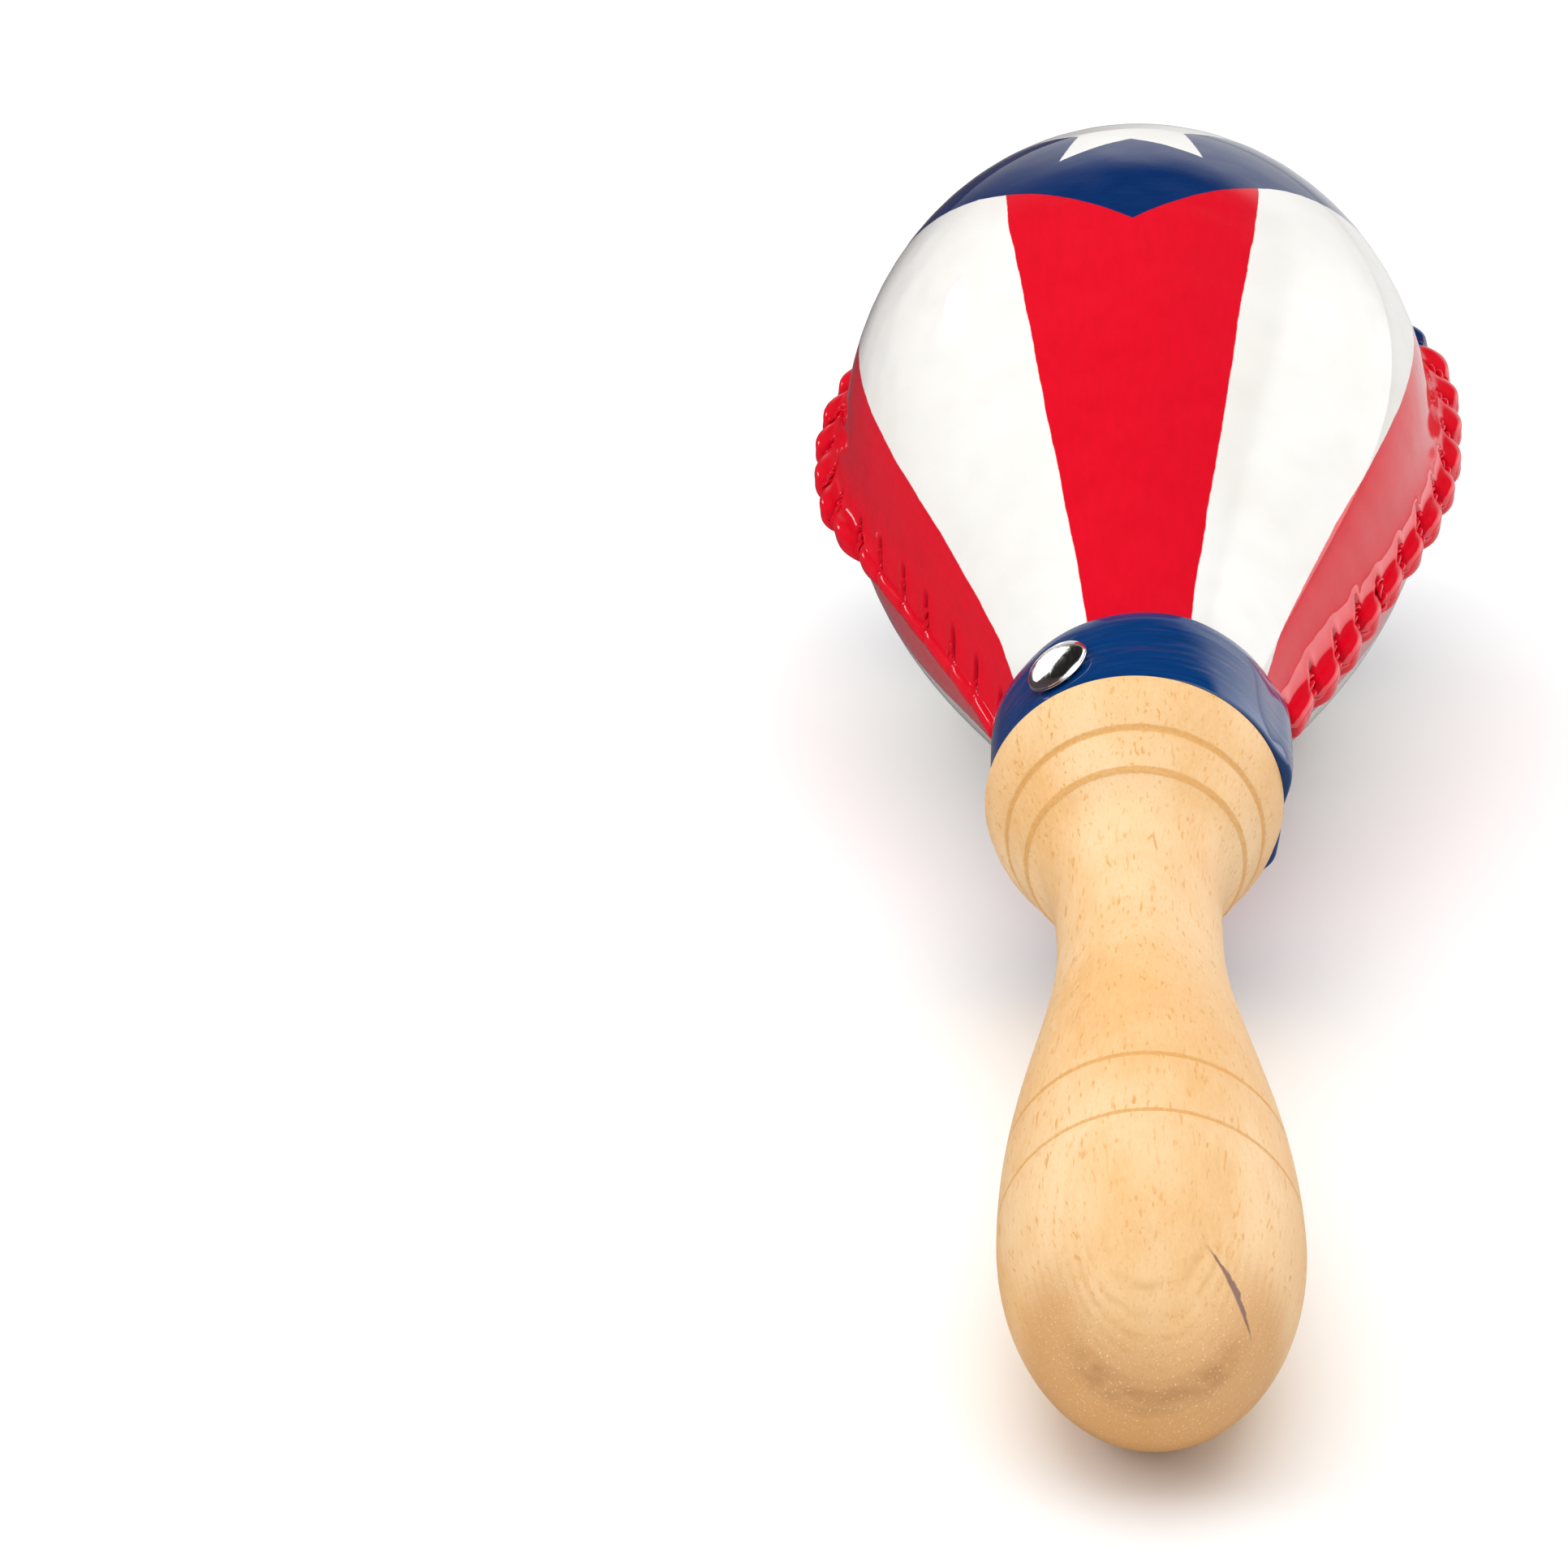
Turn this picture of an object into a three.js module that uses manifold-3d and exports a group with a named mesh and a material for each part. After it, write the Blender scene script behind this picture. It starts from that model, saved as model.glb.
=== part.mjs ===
// A sewn rawhide maraca, lying on its side on a flat surface, in millimetres, +Z up.
// It is drawn along its own long axis first: Y runs from the handle's end to the crown,
// Z is square to the seam and X is to the right. The whole maraca is then tilted so that
// the handle's bulb and the head's belly both touch the surface.

import * as THREE from 'three';
import { mergeVertices } from 'three/addons/utils/BufferGeometryUtils.js';
import Module from 'manifold-3d';

const wasm = await Module();
wasm.setup();

// Clearance between separate pieces
const GAP = 0.3;
const ROUND_SEGMENTS = 40;
// Larger than the whole maraca, for boxes that cut everything on one side away
const BEYOND = 400;
const WELD_DISTANCE = 1e-4;
const ROUNDING = 1e-9;

// How far the maraca is turned about its own axis as it lies, in degrees
const REST_ROLL = -2.6;

// Turned wooden handle: stations along the axis, radii, and how far each curve's handles reach
const BULB_STATION = 30;
const BULB_RADIUS = 18.1;
const WAIST_STATION = 94;
const WAIST_RADIUS = 10.4;
const CUP_STATION = 114.8;
const CUP_RADIUS = 14.2;
const BAND_STATION = 124.6;
const BAND_RADIUS = 18.1;
const RIM_STATION = 129.2;
const RIM_RADIUS = 19.5;
const TENON_LENGTH = 22;
const TENON_CHAMFER = 1.5;
const SWEEP_START_PULL = 26;
const SWEEP_END_PULL = 20;
const FLARE_START_PULL = 13.4;
const FLARE_END_PULL = 3.2;
const FLARE_END_DROP = 2.8;
const BULB_STEPS = 7;
const SWEEP_STEPS = 9;
const FLARE_STEPS = 6;
const GROOVE_STATIONS = [32.8, 45.7, 114.8, 121];
const GROOVE_HALF_WIDTH = 0.6;
const GROOVE_DEPTH = 0.5;

// Rawhide head: two sewn half-shells
const WALL = 1.5;
const NECK_RADIUS = 17.4;
const SHOULDER_STATION = 146.8;
const BELLY_STATION = 230;
const BELLY_RADIUS = 42.6;
const CROWN_LENGTH = 57;
const SHOULDER_RISE = 8.1;
const SHOULDER_START_PULL = 28;
const SHOULDER_END_PULL = 30;
const SHOULDER_STEPS = 8;
const CROWN_STEPS = 8;

// Sewn lip that stands out all round the seam
const LIP_WIDTH = 3.0;
const LIP_THICKNESS = 1.2;
const LIP_START = 147.8;

// Whip stitch
const STITCH_COUNT = 36;
const STEPS_PER_STITCH = 8;
const THREAD_RADIUS = 0.5;
const THREAD_SIDES = 6;
const LOOP_HALF_WIDTH = 1.75;
const LOOP_HALF_HEIGHT = 2.6;
const LOOP_OFFSET = 2.45;
const STITCH_HOLE_RADIUS = 1.2;
const HOLE_SIDES = 8;
const SEAM_MARGIN = 0.022;
const HOLE_DWELL = 0.15;
const HOLE_INSET = 0.85;

// Collar strap, wound once round the neck and lapped at the lower right
const STRAP_START = 129.6;
const STRAP_WIDTH = 17;
const STRAP_THICKNESS = 1.5;
const LAP_FROM = 156;
const LAP_TO = 212;
const LAP_RISE = 22;
const STRAP_STEP = 7.5;

// Dome-headed tacks
const TACK_STATION = 136.9;
const TACK_HEAD_RADIUS = 4.5;
const TACK_HEAD_HEIGHT = 2;
const TACK_SHANK_RADIUS = 0.8;
const TACK_SHANK_LENGTH = 11;
const TACK_POINT = 2.5;
const TACK_SEGMENTS = 16;
const TACK_DOME_STEPS = 4;
const FRONT_TACK_ANGLE = -33.1;
const LAP_TACK_ANGLE = 184;

// Loose pellets, lying on the belly of the head
const PELLET_RADIUS = 2.5;
const PELLET_FLOOR_GAP = 0.6;
const PELLET_SPACING = 7;
const PELLET_COLUMNS = 4;
const PELLET_ROWS = 3;

// Finishes
const WOOD = { color: 0xefc286, roughness: 0.5, metalness: 0 };
const PAINTED_RAWHIDE = { color: 0xf3f1ee, roughness: 0.25, metalness: 0 };
const RED_THREAD = { color: 0xd6001f, roughness: 0.3, metalness: 0 };
const BLUE_LEATHER = { color: 0x0a3678, roughness: 0.3, metalness: 0 };
const NICKEL = { color: 0xc9c8c4, roughness: 0.2, metalness: 1 };
const SEED = { color: 0x5a3a22, roughness: 0.6, metalness: 0 };

const radians = THREE.MathUtils.degToRad;
const point = (radius, station) => new THREE.Vector2(radius, station);
const LONG_AXIS = new THREE.Vector3(0, 1, 0);

// --- solids -----------------------------------------------------------------------------

function toSolid(geometry) {
  const bare = geometry.clone();
  bare.deleteAttribute('normal');
  bare.deleteAttribute('uv');
  const merged = mergeVertices(bare, WELD_DISTANCE);
  const index = merged.index.array;
  const triangles = [];
  for (let i = 0; i < index.length; i += 3) {
    const [a, b, c] = [index[i], index[i + 1], index[i + 2]];
    if (a !== b && b !== c && c !== a) triangles.push(a, b, c);
  }
  const vertProperties = new Float32Array(merged.attributes.position.array);
  const triVerts = new Uint32Array(triangles);
  return new wasm.Manifold(new wasm.Mesh({ numProp: 3, vertProperties, triVerts }));
}

function toGeometry(solid) {
  const mesh = solid.getMesh();
  const geometry = new THREE.BufferGeometry();
  geometry.setAttribute('position', new THREE.BufferAttribute(mesh.vertProperties, 3));
  geometry.setIndex(new THREE.BufferAttribute(mesh.triVerts, 1));
  geometry.computeVertexNormals();
  return geometry;
}

// A turned piece with one of its flats facing straight down as the maraca lies
function turned(profile, segments) {
  return new THREE.LatheGeometry(profile, segments, Math.PI / segments - radians(REST_ROLL));
}

// Everything on one side of the seam plane, from the parting gap outwards
function sideOfSeam(sign) {
  const box = new THREE.BoxGeometry(BEYOND, BEYOND * 2, BEYOND);
  box.translate(0, 0, sign * (BEYOND + GAP) / 2);
  return toSolid(box);
}

// A prism along Z, square to the seam plane
function uprightPrism(radius, sides, height, x, y) {
  const prism = new THREE.CylinderGeometry(radius, radius, height, sides);
  prism.rotateX(Math.PI / 2);
  prism.translate(x, y, 0);
  return toSolid(prism);
}

function namedMesh(name, geometry, finish) {
  const mesh = new THREE.Mesh(geometry, new THREE.MeshStandardMaterial(finish));
  mesh.name = name;
  return mesh;
}

// --- handle -----------------------------------------------------------------------------

// The turned outline from the bulb's end to the rim, without its grooves
function handleOutline() {
  const bulb = new THREE.EllipseCurve(0, BULB_STATION, BULB_RADIUS, BULB_STATION, -Math.PI / 2, 0);
  const sweep = new THREE.CubicBezierCurve(
    point(BULB_RADIUS, BULB_STATION),
    point(BULB_RADIUS, BULB_STATION + SWEEP_START_PULL),
    point(WAIST_RADIUS, WAIST_STATION - SWEEP_END_PULL),
    point(WAIST_RADIUS, WAIST_STATION),
  );
  const flare = new THREE.CubicBezierCurve(
    point(WAIST_RADIUS, WAIST_STATION),
    point(WAIST_RADIUS, WAIST_STATION + FLARE_START_PULL),
    point(CUP_RADIUS - FLARE_END_DROP, CUP_STATION - FLARE_END_PULL),
    point(CUP_RADIUS, CUP_STATION),
  );
  const outline = bulb.getPoints(BULB_STEPS);
  outline[0].x = 0;
  outline.push(...sweep.getPoints(SWEEP_STEPS).slice(1));
  outline.push(...flare.getPoints(FLARE_STEPS).slice(1));
  outline.push(point(BAND_RADIUS, BAND_STATION));
  outline.push(point(RIM_RADIUS, RIM_STATION));
  return outline;
}

function radiusAt(outline, station) {
  const next = outline.findIndex((p) => p.y >= station);
  const [low, high] = [outline[next - 1], outline[next]];
  const share = (station - low.y) / (high.y - low.y);
  return THREE.MathUtils.lerp(low.x, high.x, share);
}

function withGrooves(outline) {
  const isNearGroove = (p) => GROOVE_STATIONS.some((s) => Math.abs(p.y - s) <= GROOVE_HALF_WIDTH);
  const grooved = outline.filter((p) => !isNearGroove(p));
  for (const station of GROOVE_STATIONS) {
    for (const side of [-1, 0, 1]) {
      const y = station + side * GROOVE_HALF_WIDTH;
      const depth = side === 0 ? GROOVE_DEPTH : 0;
      grooved.push(point(radiusAt(outline, y) - depth, y));
    }
  }
  return grooved.sort((a, b) => a.y - b.y);
}

function handle(tackHoles) {
  const tenonRadius = NECK_RADIUS - WALL - GAP;
  const tenonEnd = RIM_STATION + TENON_LENGTH;
  const profile = withGrooves(handleOutline());
  profile.push(point(tenonRadius, RIM_STATION));
  profile.push(point(tenonRadius, tenonEnd - TENON_CHAMFER));
  profile.push(point(tenonRadius - TENON_CHAMFER, tenonEnd));
  profile.push(point(0, tenonEnd));
  let solid = toSolid(turned(profile, ROUND_SEGMENTS));
  for (const hole of tackHoles) solid = solid.subtract(hole);
  return namedMesh('handle', toGeometry(solid), WOOD);
}

// --- head -------------------------------------------------------------------------------

// Outline of the head from the shoulder to the crown, moved outwards by an offset
function headOutline(offset) {
  const shoulder = new THREE.CubicBezierCurve(
    point(NECK_RADIUS, SHOULDER_STATION),
    point(NECK_RADIUS + SHOULDER_RISE, SHOULDER_STATION + SHOULDER_START_PULL),
    point(BELLY_RADIUS, BELLY_STATION - SHOULDER_END_PULL),
    point(BELLY_RADIUS, BELLY_STATION),
  );
  const crown = new THREE.EllipseCurve(0, BELLY_STATION, BELLY_RADIUS, CROWN_LENGTH, 0, Math.PI / 2);
  const outline = [];
  for (const [curve, steps] of [[shoulder, SHOULDER_STEPS], [crown, CROWN_STEPS]]) {
    for (let i = curve === crown ? 1 : 0; i <= steps; i += 1) {
      const at = curve.getPoint(i / steps);
      const along = curve.getTangent(i / steps);
      outline.push(point(at.x + along.y * offset, at.y - along.x * offset));
    }
  }
  outline[outline.length - 1].x = 0;
  return outline;
}

function headWall() {
  const neckEnd = RIM_STATION + GAP;
  const inner = headOutline(-WALL).reverse();
  inner[inner.length - 1].set(NECK_RADIUS - WALL, SHOULDER_STATION);
  const outer = headOutline(0);
  const profile = [...inner, point(NECK_RADIUS - WALL, neckEnd), point(NECK_RADIUS, neckEnd), ...outer];
  return toSolid(turned(profile, ROUND_SEGMENTS));
}

function mirrored(outline) {
  return outline.slice(0, -1).reverse().map((p) => point(-p.x, p.y));
}

// Both layers of the lip, as one flat band round the seam
function lipBand() {
  const edge = headOutline(LIP_WIDTH);
  const root = headOutline(-WALL / 2);
  const edgeLoop = [...edge, ...mirrored(edge)];
  const rootLoop = [...root, ...mirrored(root)].reverse();
  const thickness = 2 * LIP_THICKNESS + GAP;
  const shape = new THREE.Shape([...edgeLoop, ...rootLoop]);
  const band = new THREE.ExtrudeGeometry(shape, { depth: thickness, bevelEnabled: false });
  band.translate(0, 0, -thickness / 2);
  const aboveStrap = new THREE.BoxGeometry(BEYOND, BEYOND, thickness * 2);
  aboveStrap.translate(0, LIP_START + BEYOND / 2, 0);
  return toSolid(band).intersect(toSolid(aboveStrap));
}

// The middle line of the stitches, from the right of the neck over the crown to the left
const stitchOutline = headOutline(LOOP_OFFSET);
const stitchLine = new THREE.SplineCurve([...stitchOutline, ...mirrored(stitchOutline)]);

// A point beside the middle line, at a stitch number counted from the right of the neck
function besideStitchLine(stitch, outward) {
  const share = THREE.MathUtils.lerp(SEAM_MARGIN, 1 - SEAM_MARGIN, stitch / STITCH_COUNT);
  const at = stitchLine.getPointAt(share);
  const along = stitchLine.getTangentAt(share);
  return point(at.x + along.y * outward, at.y - along.x * outward);
}

function stitchHoles() {
  const height = 4 * LIP_THICKNESS;
  const holes = [];
  for (let stitch = 0; stitch <= STITCH_COUNT; stitch += 1) {
    const at = besideStitchLine(stitch, -LOOP_HALF_WIDTH * HOLE_INSET);
    holes.push(uprightPrism(STITCH_HOLE_RADIUS, HOLE_SIDES, height, at.x, at.y));
  }
  return holes;
}

function halfShell(name, sign, tackHoles) {
  let solid = headWall().add(lipBand()).intersect(sideOfSeam(sign));
  for (const hole of [...stitchHoles(), ...tackHoles]) solid = solid.subtract(hole);
  return namedMesh(name, toGeometry(solid), PAINTED_RAWHIDE);
}

// --- seam thread ------------------------------------------------------------------------

// One loop of thread for each stitch: through its hole, then over the lip's edge to the next
class StitchPath extends THREE.Curve {
  getPoint(t) {
    const turns = t * STITCH_COUNT;
    const stitch = Math.min(Math.floor(turns + ROUNDING), STITCH_COUNT - 1);
    const phase = turns - stitch;
    const advance = THREE.MathUtils.clamp((phase - HOLE_DWELL) / (1 - 2 * HOLE_DWELL), 0, 1);
    const outward = -LOOP_HALF_WIDTH * Math.cos(2 * Math.PI * phase);
    const height = LOOP_HALF_HEIGHT * Math.sin(2 * Math.PI * phase);
    const at = besideStitchLine(stitch + advance, outward);
    return new THREE.Vector3(at.x, at.y, height);
  }

  getPointAt(t) {
    return this.getPoint(t);
  }

  getTangentAt(t) {
    return this.getTangent(t);
  }
}

function seamThread() {
  const section = [];
  for (let side = 0; side < THREAD_SIDES; side += 1) {
    const angle = (2 * Math.PI * side) / THREAD_SIDES;
    section.push(point(THREAD_RADIUS * Math.cos(angle), THREAD_RADIUS * Math.sin(angle)));
  }
  const thread = new THREE.ExtrudeGeometry(new THREE.Shape(section), {
    steps: STITCH_COUNT * STEPS_PER_STITCH,
    extrudePath: new StitchPath(),
  });
  return namedMesh('seam_thread', toGeometry(toSolid(thread)), RED_THREAD);
}

// --- collar strap -----------------------------------------------------------------------

// Inner radius of the strap at an angle wound on from its covered end
function strapInnerRadius(wound) {
  const firstLayer = NECK_RADIUS + GAP;
  const rise = THREE.MathUtils.smoothstep(wound, 360 - LAP_RISE, 360);
  return firstLayer + rise * (STRAP_THICKNESS + GAP);
}

function collarStrap(tackHoles) {
  const woundLength = 360 + LAP_TO - LAP_FROM;
  const steps = Math.round(woundLength / STRAP_STEP);
  const inner = [];
  const outer = [];
  for (let step = 0; step <= steps; step += 1) {
    const wound = (woundLength * step) / steps;
    const angle = radians(LAP_FROM + wound);
    const radius = strapInnerRadius(wound);
    inner.push(point(radius * Math.sin(angle), radius * Math.cos(angle)));
    const far = radius + STRAP_THICKNESS;
    outer.push(point(far * Math.sin(angle), far * Math.cos(angle)));
  }
  const shape = new THREE.Shape([...inner, ...outer.reverse()]);
  const strap = new THREE.ExtrudeGeometry(shape, { depth: STRAP_WIDTH, bevelEnabled: false });
  strap.rotateX(Math.PI / 2);
  strap.translate(0, STRAP_START + STRAP_WIDTH, 0);
  let solid = toSolid(strap);
  for (const hole of tackHoles) solid = solid.subtract(hole);
  return namedMesh('collar_strap', toGeometry(solid), BLUE_LEATHER);
}

// --- tacks ------------------------------------------------------------------------------

// Turns a piece drawn along Y so that it points out of the neck at a clock angle
function standOnNeck(geometry, clockAngle, radius) {
  const angle = radians(clockAngle);
  geometry.rotateX(Math.PI / 2);
  geometry.rotateY(angle);
  geometry.translate(radius * Math.sin(angle), TACK_STATION, radius * Math.cos(angle));
  return geometry;
}

// Radius on which a tack's head sits, over one or two layers of strap
function tackSeat(layers) {
  return NECK_RADIUS + GAP + layers * (STRAP_THICKNESS + GAP);
}

function tack(name, clockAngle, layers) {
  const profile = [
    point(0, -TACK_SHANK_LENGTH),
    point(TACK_SHANK_RADIUS, TACK_POINT - TACK_SHANK_LENGTH),
    point(TACK_SHANK_RADIUS, 0),
  ];
  for (let step = 0; step <= TACK_DOME_STEPS; step += 1) {
    const angle = (Math.PI / 2) * (step / TACK_DOME_STEPS);
    profile.push(point(TACK_HEAD_RADIUS * Math.cos(angle), TACK_HEAD_HEIGHT * Math.sin(angle)));
  }
  profile[profile.length - 1].x = 0;
  const turnedTack = toGeometry(toSolid(turned(profile, TACK_SEGMENTS)));
  const placed = standOnNeck(turnedTack, clockAngle, tackSeat(layers));
  return namedMesh(name, placed, NICKEL);
}

function tackHole(clockAngle, layers) {
  const depth = TACK_SHANK_LENGTH + 2 * GAP;
  const above = TACK_HEAD_HEIGHT;
  const radius = TACK_SHANK_RADIUS + GAP;
  const hole = new THREE.CylinderGeometry(radius, radius, depth + above, HOLE_SIDES);
  hole.translate(0, (above - depth) / 2, 0);
  return toSolid(standOnNeck(hole, clockAngle, tackSeat(layers)));
}

// --- pellets ----------------------------------------------------------------------------

function pellets() {
  const floor = headOutline(-WALL);
  const flatOfFacet = Math.cos(Math.PI / ROUND_SEGMENTS);
  const loose = [];
  for (let row = 0; row < PELLET_ROWS; row += 1) {
    for (let column = 0; column < PELLET_COLUMNS; column += 1) {
      const x = (column - (PELLET_COLUMNS - 1) / 2) * PELLET_SPACING;
      const station = BELLY_STATION + (row - (PELLET_ROWS - 1) / 2) * PELLET_SPACING;
      const reach = radiusAt(floor, station) * flatOfFacet - PELLET_RADIUS - PELLET_FLOOR_GAP;
      const name = `pellet_${String(loose.length + 1).padStart(2, '0')}`;
      const ball = new THREE.IcosahedronGeometry(PELLET_RADIUS, 1);
      const pellet = namedMesh(name, toGeometry(toSolid(ball)), SEED);
      pellet.position.set(x, station, -Math.sqrt(reach ** 2 - x ** 2));
      pellet.position.applyAxisAngle(LONG_AXIS, -radians(REST_ROLL));
      loose.push(pellet);
    }
  }
  return loose;
}

// --- assembly ---------------------------------------------------------------------------

// Slope of the line that touches the bulb and the belly, on the flats of their facets
function restingTilt() {
  const belly = headOutline(0);
  const steepest = (p) => Math.max(...belly.map((q) => (q.x - p.x) / (q.y - p.y)));
  const slope = Math.min(...handleOutline().map(steepest));
  return Math.atan(slope * Math.cos(Math.PI / ROUND_SEGMENTS));
}

function maraca() {
  const tackHoles = [tackHole(FRONT_TACK_ANGLE, 1), tackHole(LAP_TACK_ANGLE, 2)];
  const group = new THREE.Group();
  group.add(handle(tackHoles));
  group.add(halfShell('upper_shell', 1, tackHoles));
  group.add(halfShell('lower_shell', -1, tackHoles));
  group.add(seamThread());
  group.add(collarStrap(tackHoles));
  group.add(tack('tack_front', FRONT_TACK_ANGLE, 1));
  group.add(tack('tack_lap', LAP_TACK_ANGLE, 2));
  group.add(...pellets());
  return group;
}

// Lays the maraca down with the middle of its footprint at the origin
function laidOnSurface(group) {
  group.rotation.set(restingTilt(), radians(REST_ROLL), 0);
  const box = new THREE.Box3().setFromObject(group, true);
  const middle = box.getCenter(new THREE.Vector3());
  group.position.set(-middle.x, -middle.y, -box.min.z);
  group.updateMatrixWorld(true);
  return group;
}

export default laidOnSurface(maraca());
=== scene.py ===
"""A sewn rawhide maraca, painted and lacquered, lying on its side in a plain studio.

Every shape is worked out in the maraca's own frame, in millimetres: Y runs from the handle's
end to the crown, Z is square to the seam and X is to the right. to_world() then lays it down.
Clock angles are in degrees from Z towards X, seen from the handle.
"""

import math

import bmesh
import bpy
import numpy as np
from mathutils import Matrix, Vector


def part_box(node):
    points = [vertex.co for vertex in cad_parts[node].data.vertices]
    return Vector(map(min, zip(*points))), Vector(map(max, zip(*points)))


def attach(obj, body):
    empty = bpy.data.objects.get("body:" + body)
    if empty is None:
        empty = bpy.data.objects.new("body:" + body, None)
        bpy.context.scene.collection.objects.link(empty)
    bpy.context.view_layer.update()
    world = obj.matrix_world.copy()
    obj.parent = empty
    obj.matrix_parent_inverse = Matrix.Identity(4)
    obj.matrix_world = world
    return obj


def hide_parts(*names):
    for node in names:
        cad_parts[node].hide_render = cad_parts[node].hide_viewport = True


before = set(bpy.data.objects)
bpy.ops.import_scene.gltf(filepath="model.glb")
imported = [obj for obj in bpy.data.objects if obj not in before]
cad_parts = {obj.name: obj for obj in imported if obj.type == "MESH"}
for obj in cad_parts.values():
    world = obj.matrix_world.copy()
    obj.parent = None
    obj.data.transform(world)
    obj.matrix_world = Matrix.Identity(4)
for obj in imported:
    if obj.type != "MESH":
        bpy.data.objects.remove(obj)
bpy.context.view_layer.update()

MM = 0.001
BODY = "maraca_body"

# How the maraca lies, as the CAD has it
TILT = 0.12271461556881247
ROLL = math.radians(-2.6)
PLACE = np.array((-0.0117, -144.6084, 14.6044))
TURN = np.array(Matrix.Rotation(TILT, 3, "X") @ Matrix.Rotation(ROLL, 3, "Y"))

# The CAD's driving sizes, in millimetres
BULB_STATION, BULB_RADIUS = 30, 18.1
WAIST_STATION, WAIST_RADIUS = 94, 10.4
CUP_STATION, CUP_RADIUS = 114.8, 14.2
STEP_STATION, STEP_RADIUS = 121.0, 16.6
RIM_STATION, RIM_RADIUS = 129.2, 19.5
BAND_LOW, BAND_HIGH = (17.8, 123.2), (19.0, 125.8)
TENON_RADIUS, TENON_END, TENON_CHAMFER = 15.6, 151.2, 1.5
SWEEP_START_PULL, SWEEP_END_PULL = 26, 20
FLARE_START_PULL, FLARE_END_PULL, FLARE_END_DROP = 13.4, 3.2, 2.8
# Each turned groove's station, half width and depth
GROOVES = ((32.8, 0.36, 0.16), (45.7, 0.46, 0.24), (114.8, 0.44, 0.20), (121.0, 0.46, 0.22))
GROOVE_MARGIN, GROOVE_STEPS = 1.1, 17
FULL_CUT_DEPTH = 0.15
LATHE_SEGMENTS = 160
WALL = 1.5
NECK_RADIUS, NECK_END = 17.4, 129.5
SHOULDER_STATION, BELLY_STATION = 146.8, 230
BELLY_RADIUS, CROWN_LENGTH = 42.6, 57
SHOULDER_RISE, SHOULDER_START_PULL, SHOULDER_END_PULL = 8.1, 28, 30
STRAP_START, STRAP_WIDTH, STRAP_THICKNESS = 129.6, 17, 1.5
STRAP_RADIUS, STRAP_LIFT = 17.7, 1.8
# Where the strap stands proud or sinks: clock angle, how wide, how far
STRAP_SWELLS = ((78, 9, 0.9), (98, 9, -0.8), (120, 6, 0.6), (-80, 18, 0.8))
STRAP_CORNER, CORNER_STEPS, STRAP_STEPS = 0.5, 6, 300
LAP_FROM, LAP_TO, LAP_RISE = 156, 212, 22
TACK_STATION, TACK_RADIUS, TACK_HEIGHT = 136.9, 4.5, 2.0
# Each tack's name, clock angle and the radius it sits at
TACKS = (("front", -33.1, 19.5), ("lap", 184, 21.3))
PELLETS = 12
PELLET_RADIUS = 2.5

# How far the wood leans sideways at each station
HANDLE_LEAN = ((0, 0.62), (30, 0.25), (60, -0.2), (94, -0.55), (110, -1.0), (130, -1.12))

# The sewn lip. LIP_OUT gives (station, reach) pairs for the right side and for the left
LOBES = 18
LIP_START = 147.2
LIP_OUT = {
    1: ((140, 3.3), (151, 3.4), (158, 4.4), (166, 4.7), (176, 4.1), (190, 3.7), (212, 4.1),
        (228, 3.9), (241, 4.8), (250, 5.5), (262, 5.4), (275, 4.4), (290, 4.0)),
    -1: ((140, 2.6), (160, 2.8), (186, 2.8), (193, 3.0), (200, 3.6), (208, 4.9), (217, 4.5),
         (226, 4.1), (240, 3.6), (252, 3.2), (262, 2.8), (275, 3.2), (290, 4.0)),
}
LIP_HALF_THICKNESS = 1.25
EDGE_ROUND = 1.3
NOTCH_DEPTH = 1.5
PILLOW = 0.75
NOTCH_SLANT = 0.8
STITCH_REACH = 5.0
PARTING = 0.02
# Half width and height of each mark that the stitches leave, in millimetres
SLIT_WIDTH, SLIT_DEPTH = 0.34, 0.60
PUCKER_WIDTH, PUCKER_DEPTH = 0.46, 0.85
RIDGE_WIDTH, RIDGE_HEIGHT = 1.25, 0.20
SWELL_WIDTH, SWELL_HEIGHT = 1.1, 0.16
CREASE_DEPTH = 0.50


def to_world(points):
    """Local millimetres to metres in the row frame."""
    return (np.asarray(points, float) @ TURN.T + PLACE) * MM


def smooth(low, high, value):
    t = np.clip((np.asarray(value, float) - low) / (high - low), 0, 1)
    return t * t * (3 - 2 * t)


def bell(distance, width):
    return np.exp(-((distance / width) ** 2))


def bezier(a, b, c, d, count):
    t = np.linspace(0, 1, count)[:, None]
    a, b, c, d = (np.array(p, float) for p in (a, b, c, d))
    return (1 - t) ** 3 * a + 3 * (1 - t) ** 2 * t * b + 3 * (1 - t) * t * t * c + t**3 * d


def ripple(values, count, seed, spread=1.0):
    """A smooth random curve through the values' own range, between about -1 and 1."""
    draw = np.random.default_rng(seed).uniform(-1, 1, count + 3)
    at = np.clip(np.asarray(values, float) / spread, 0, 1) * count
    cell = np.floor(at).astype(int)
    t = at - cell
    p0, p1, p2, p3 = (draw[np.clip(cell + k, 0, count + 2)] for k in range(4))
    return p1 + 0.5 * t * (p2 - p0 + t * (2 * p0 - 5 * p1 + 4 * p2 - p3 + t * (3 * (p1 - p2) + p3 - p0)))


def face_outward(mesh):
    """Turn every face of a closed mesh to look outwards."""
    shape = bmesh.new()
    shape.from_mesh(mesh)
    bmesh.ops.recalc_face_normals(shape, faces=shape.faces)
    shape.to_mesh(mesh)
    shape.free()


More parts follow.
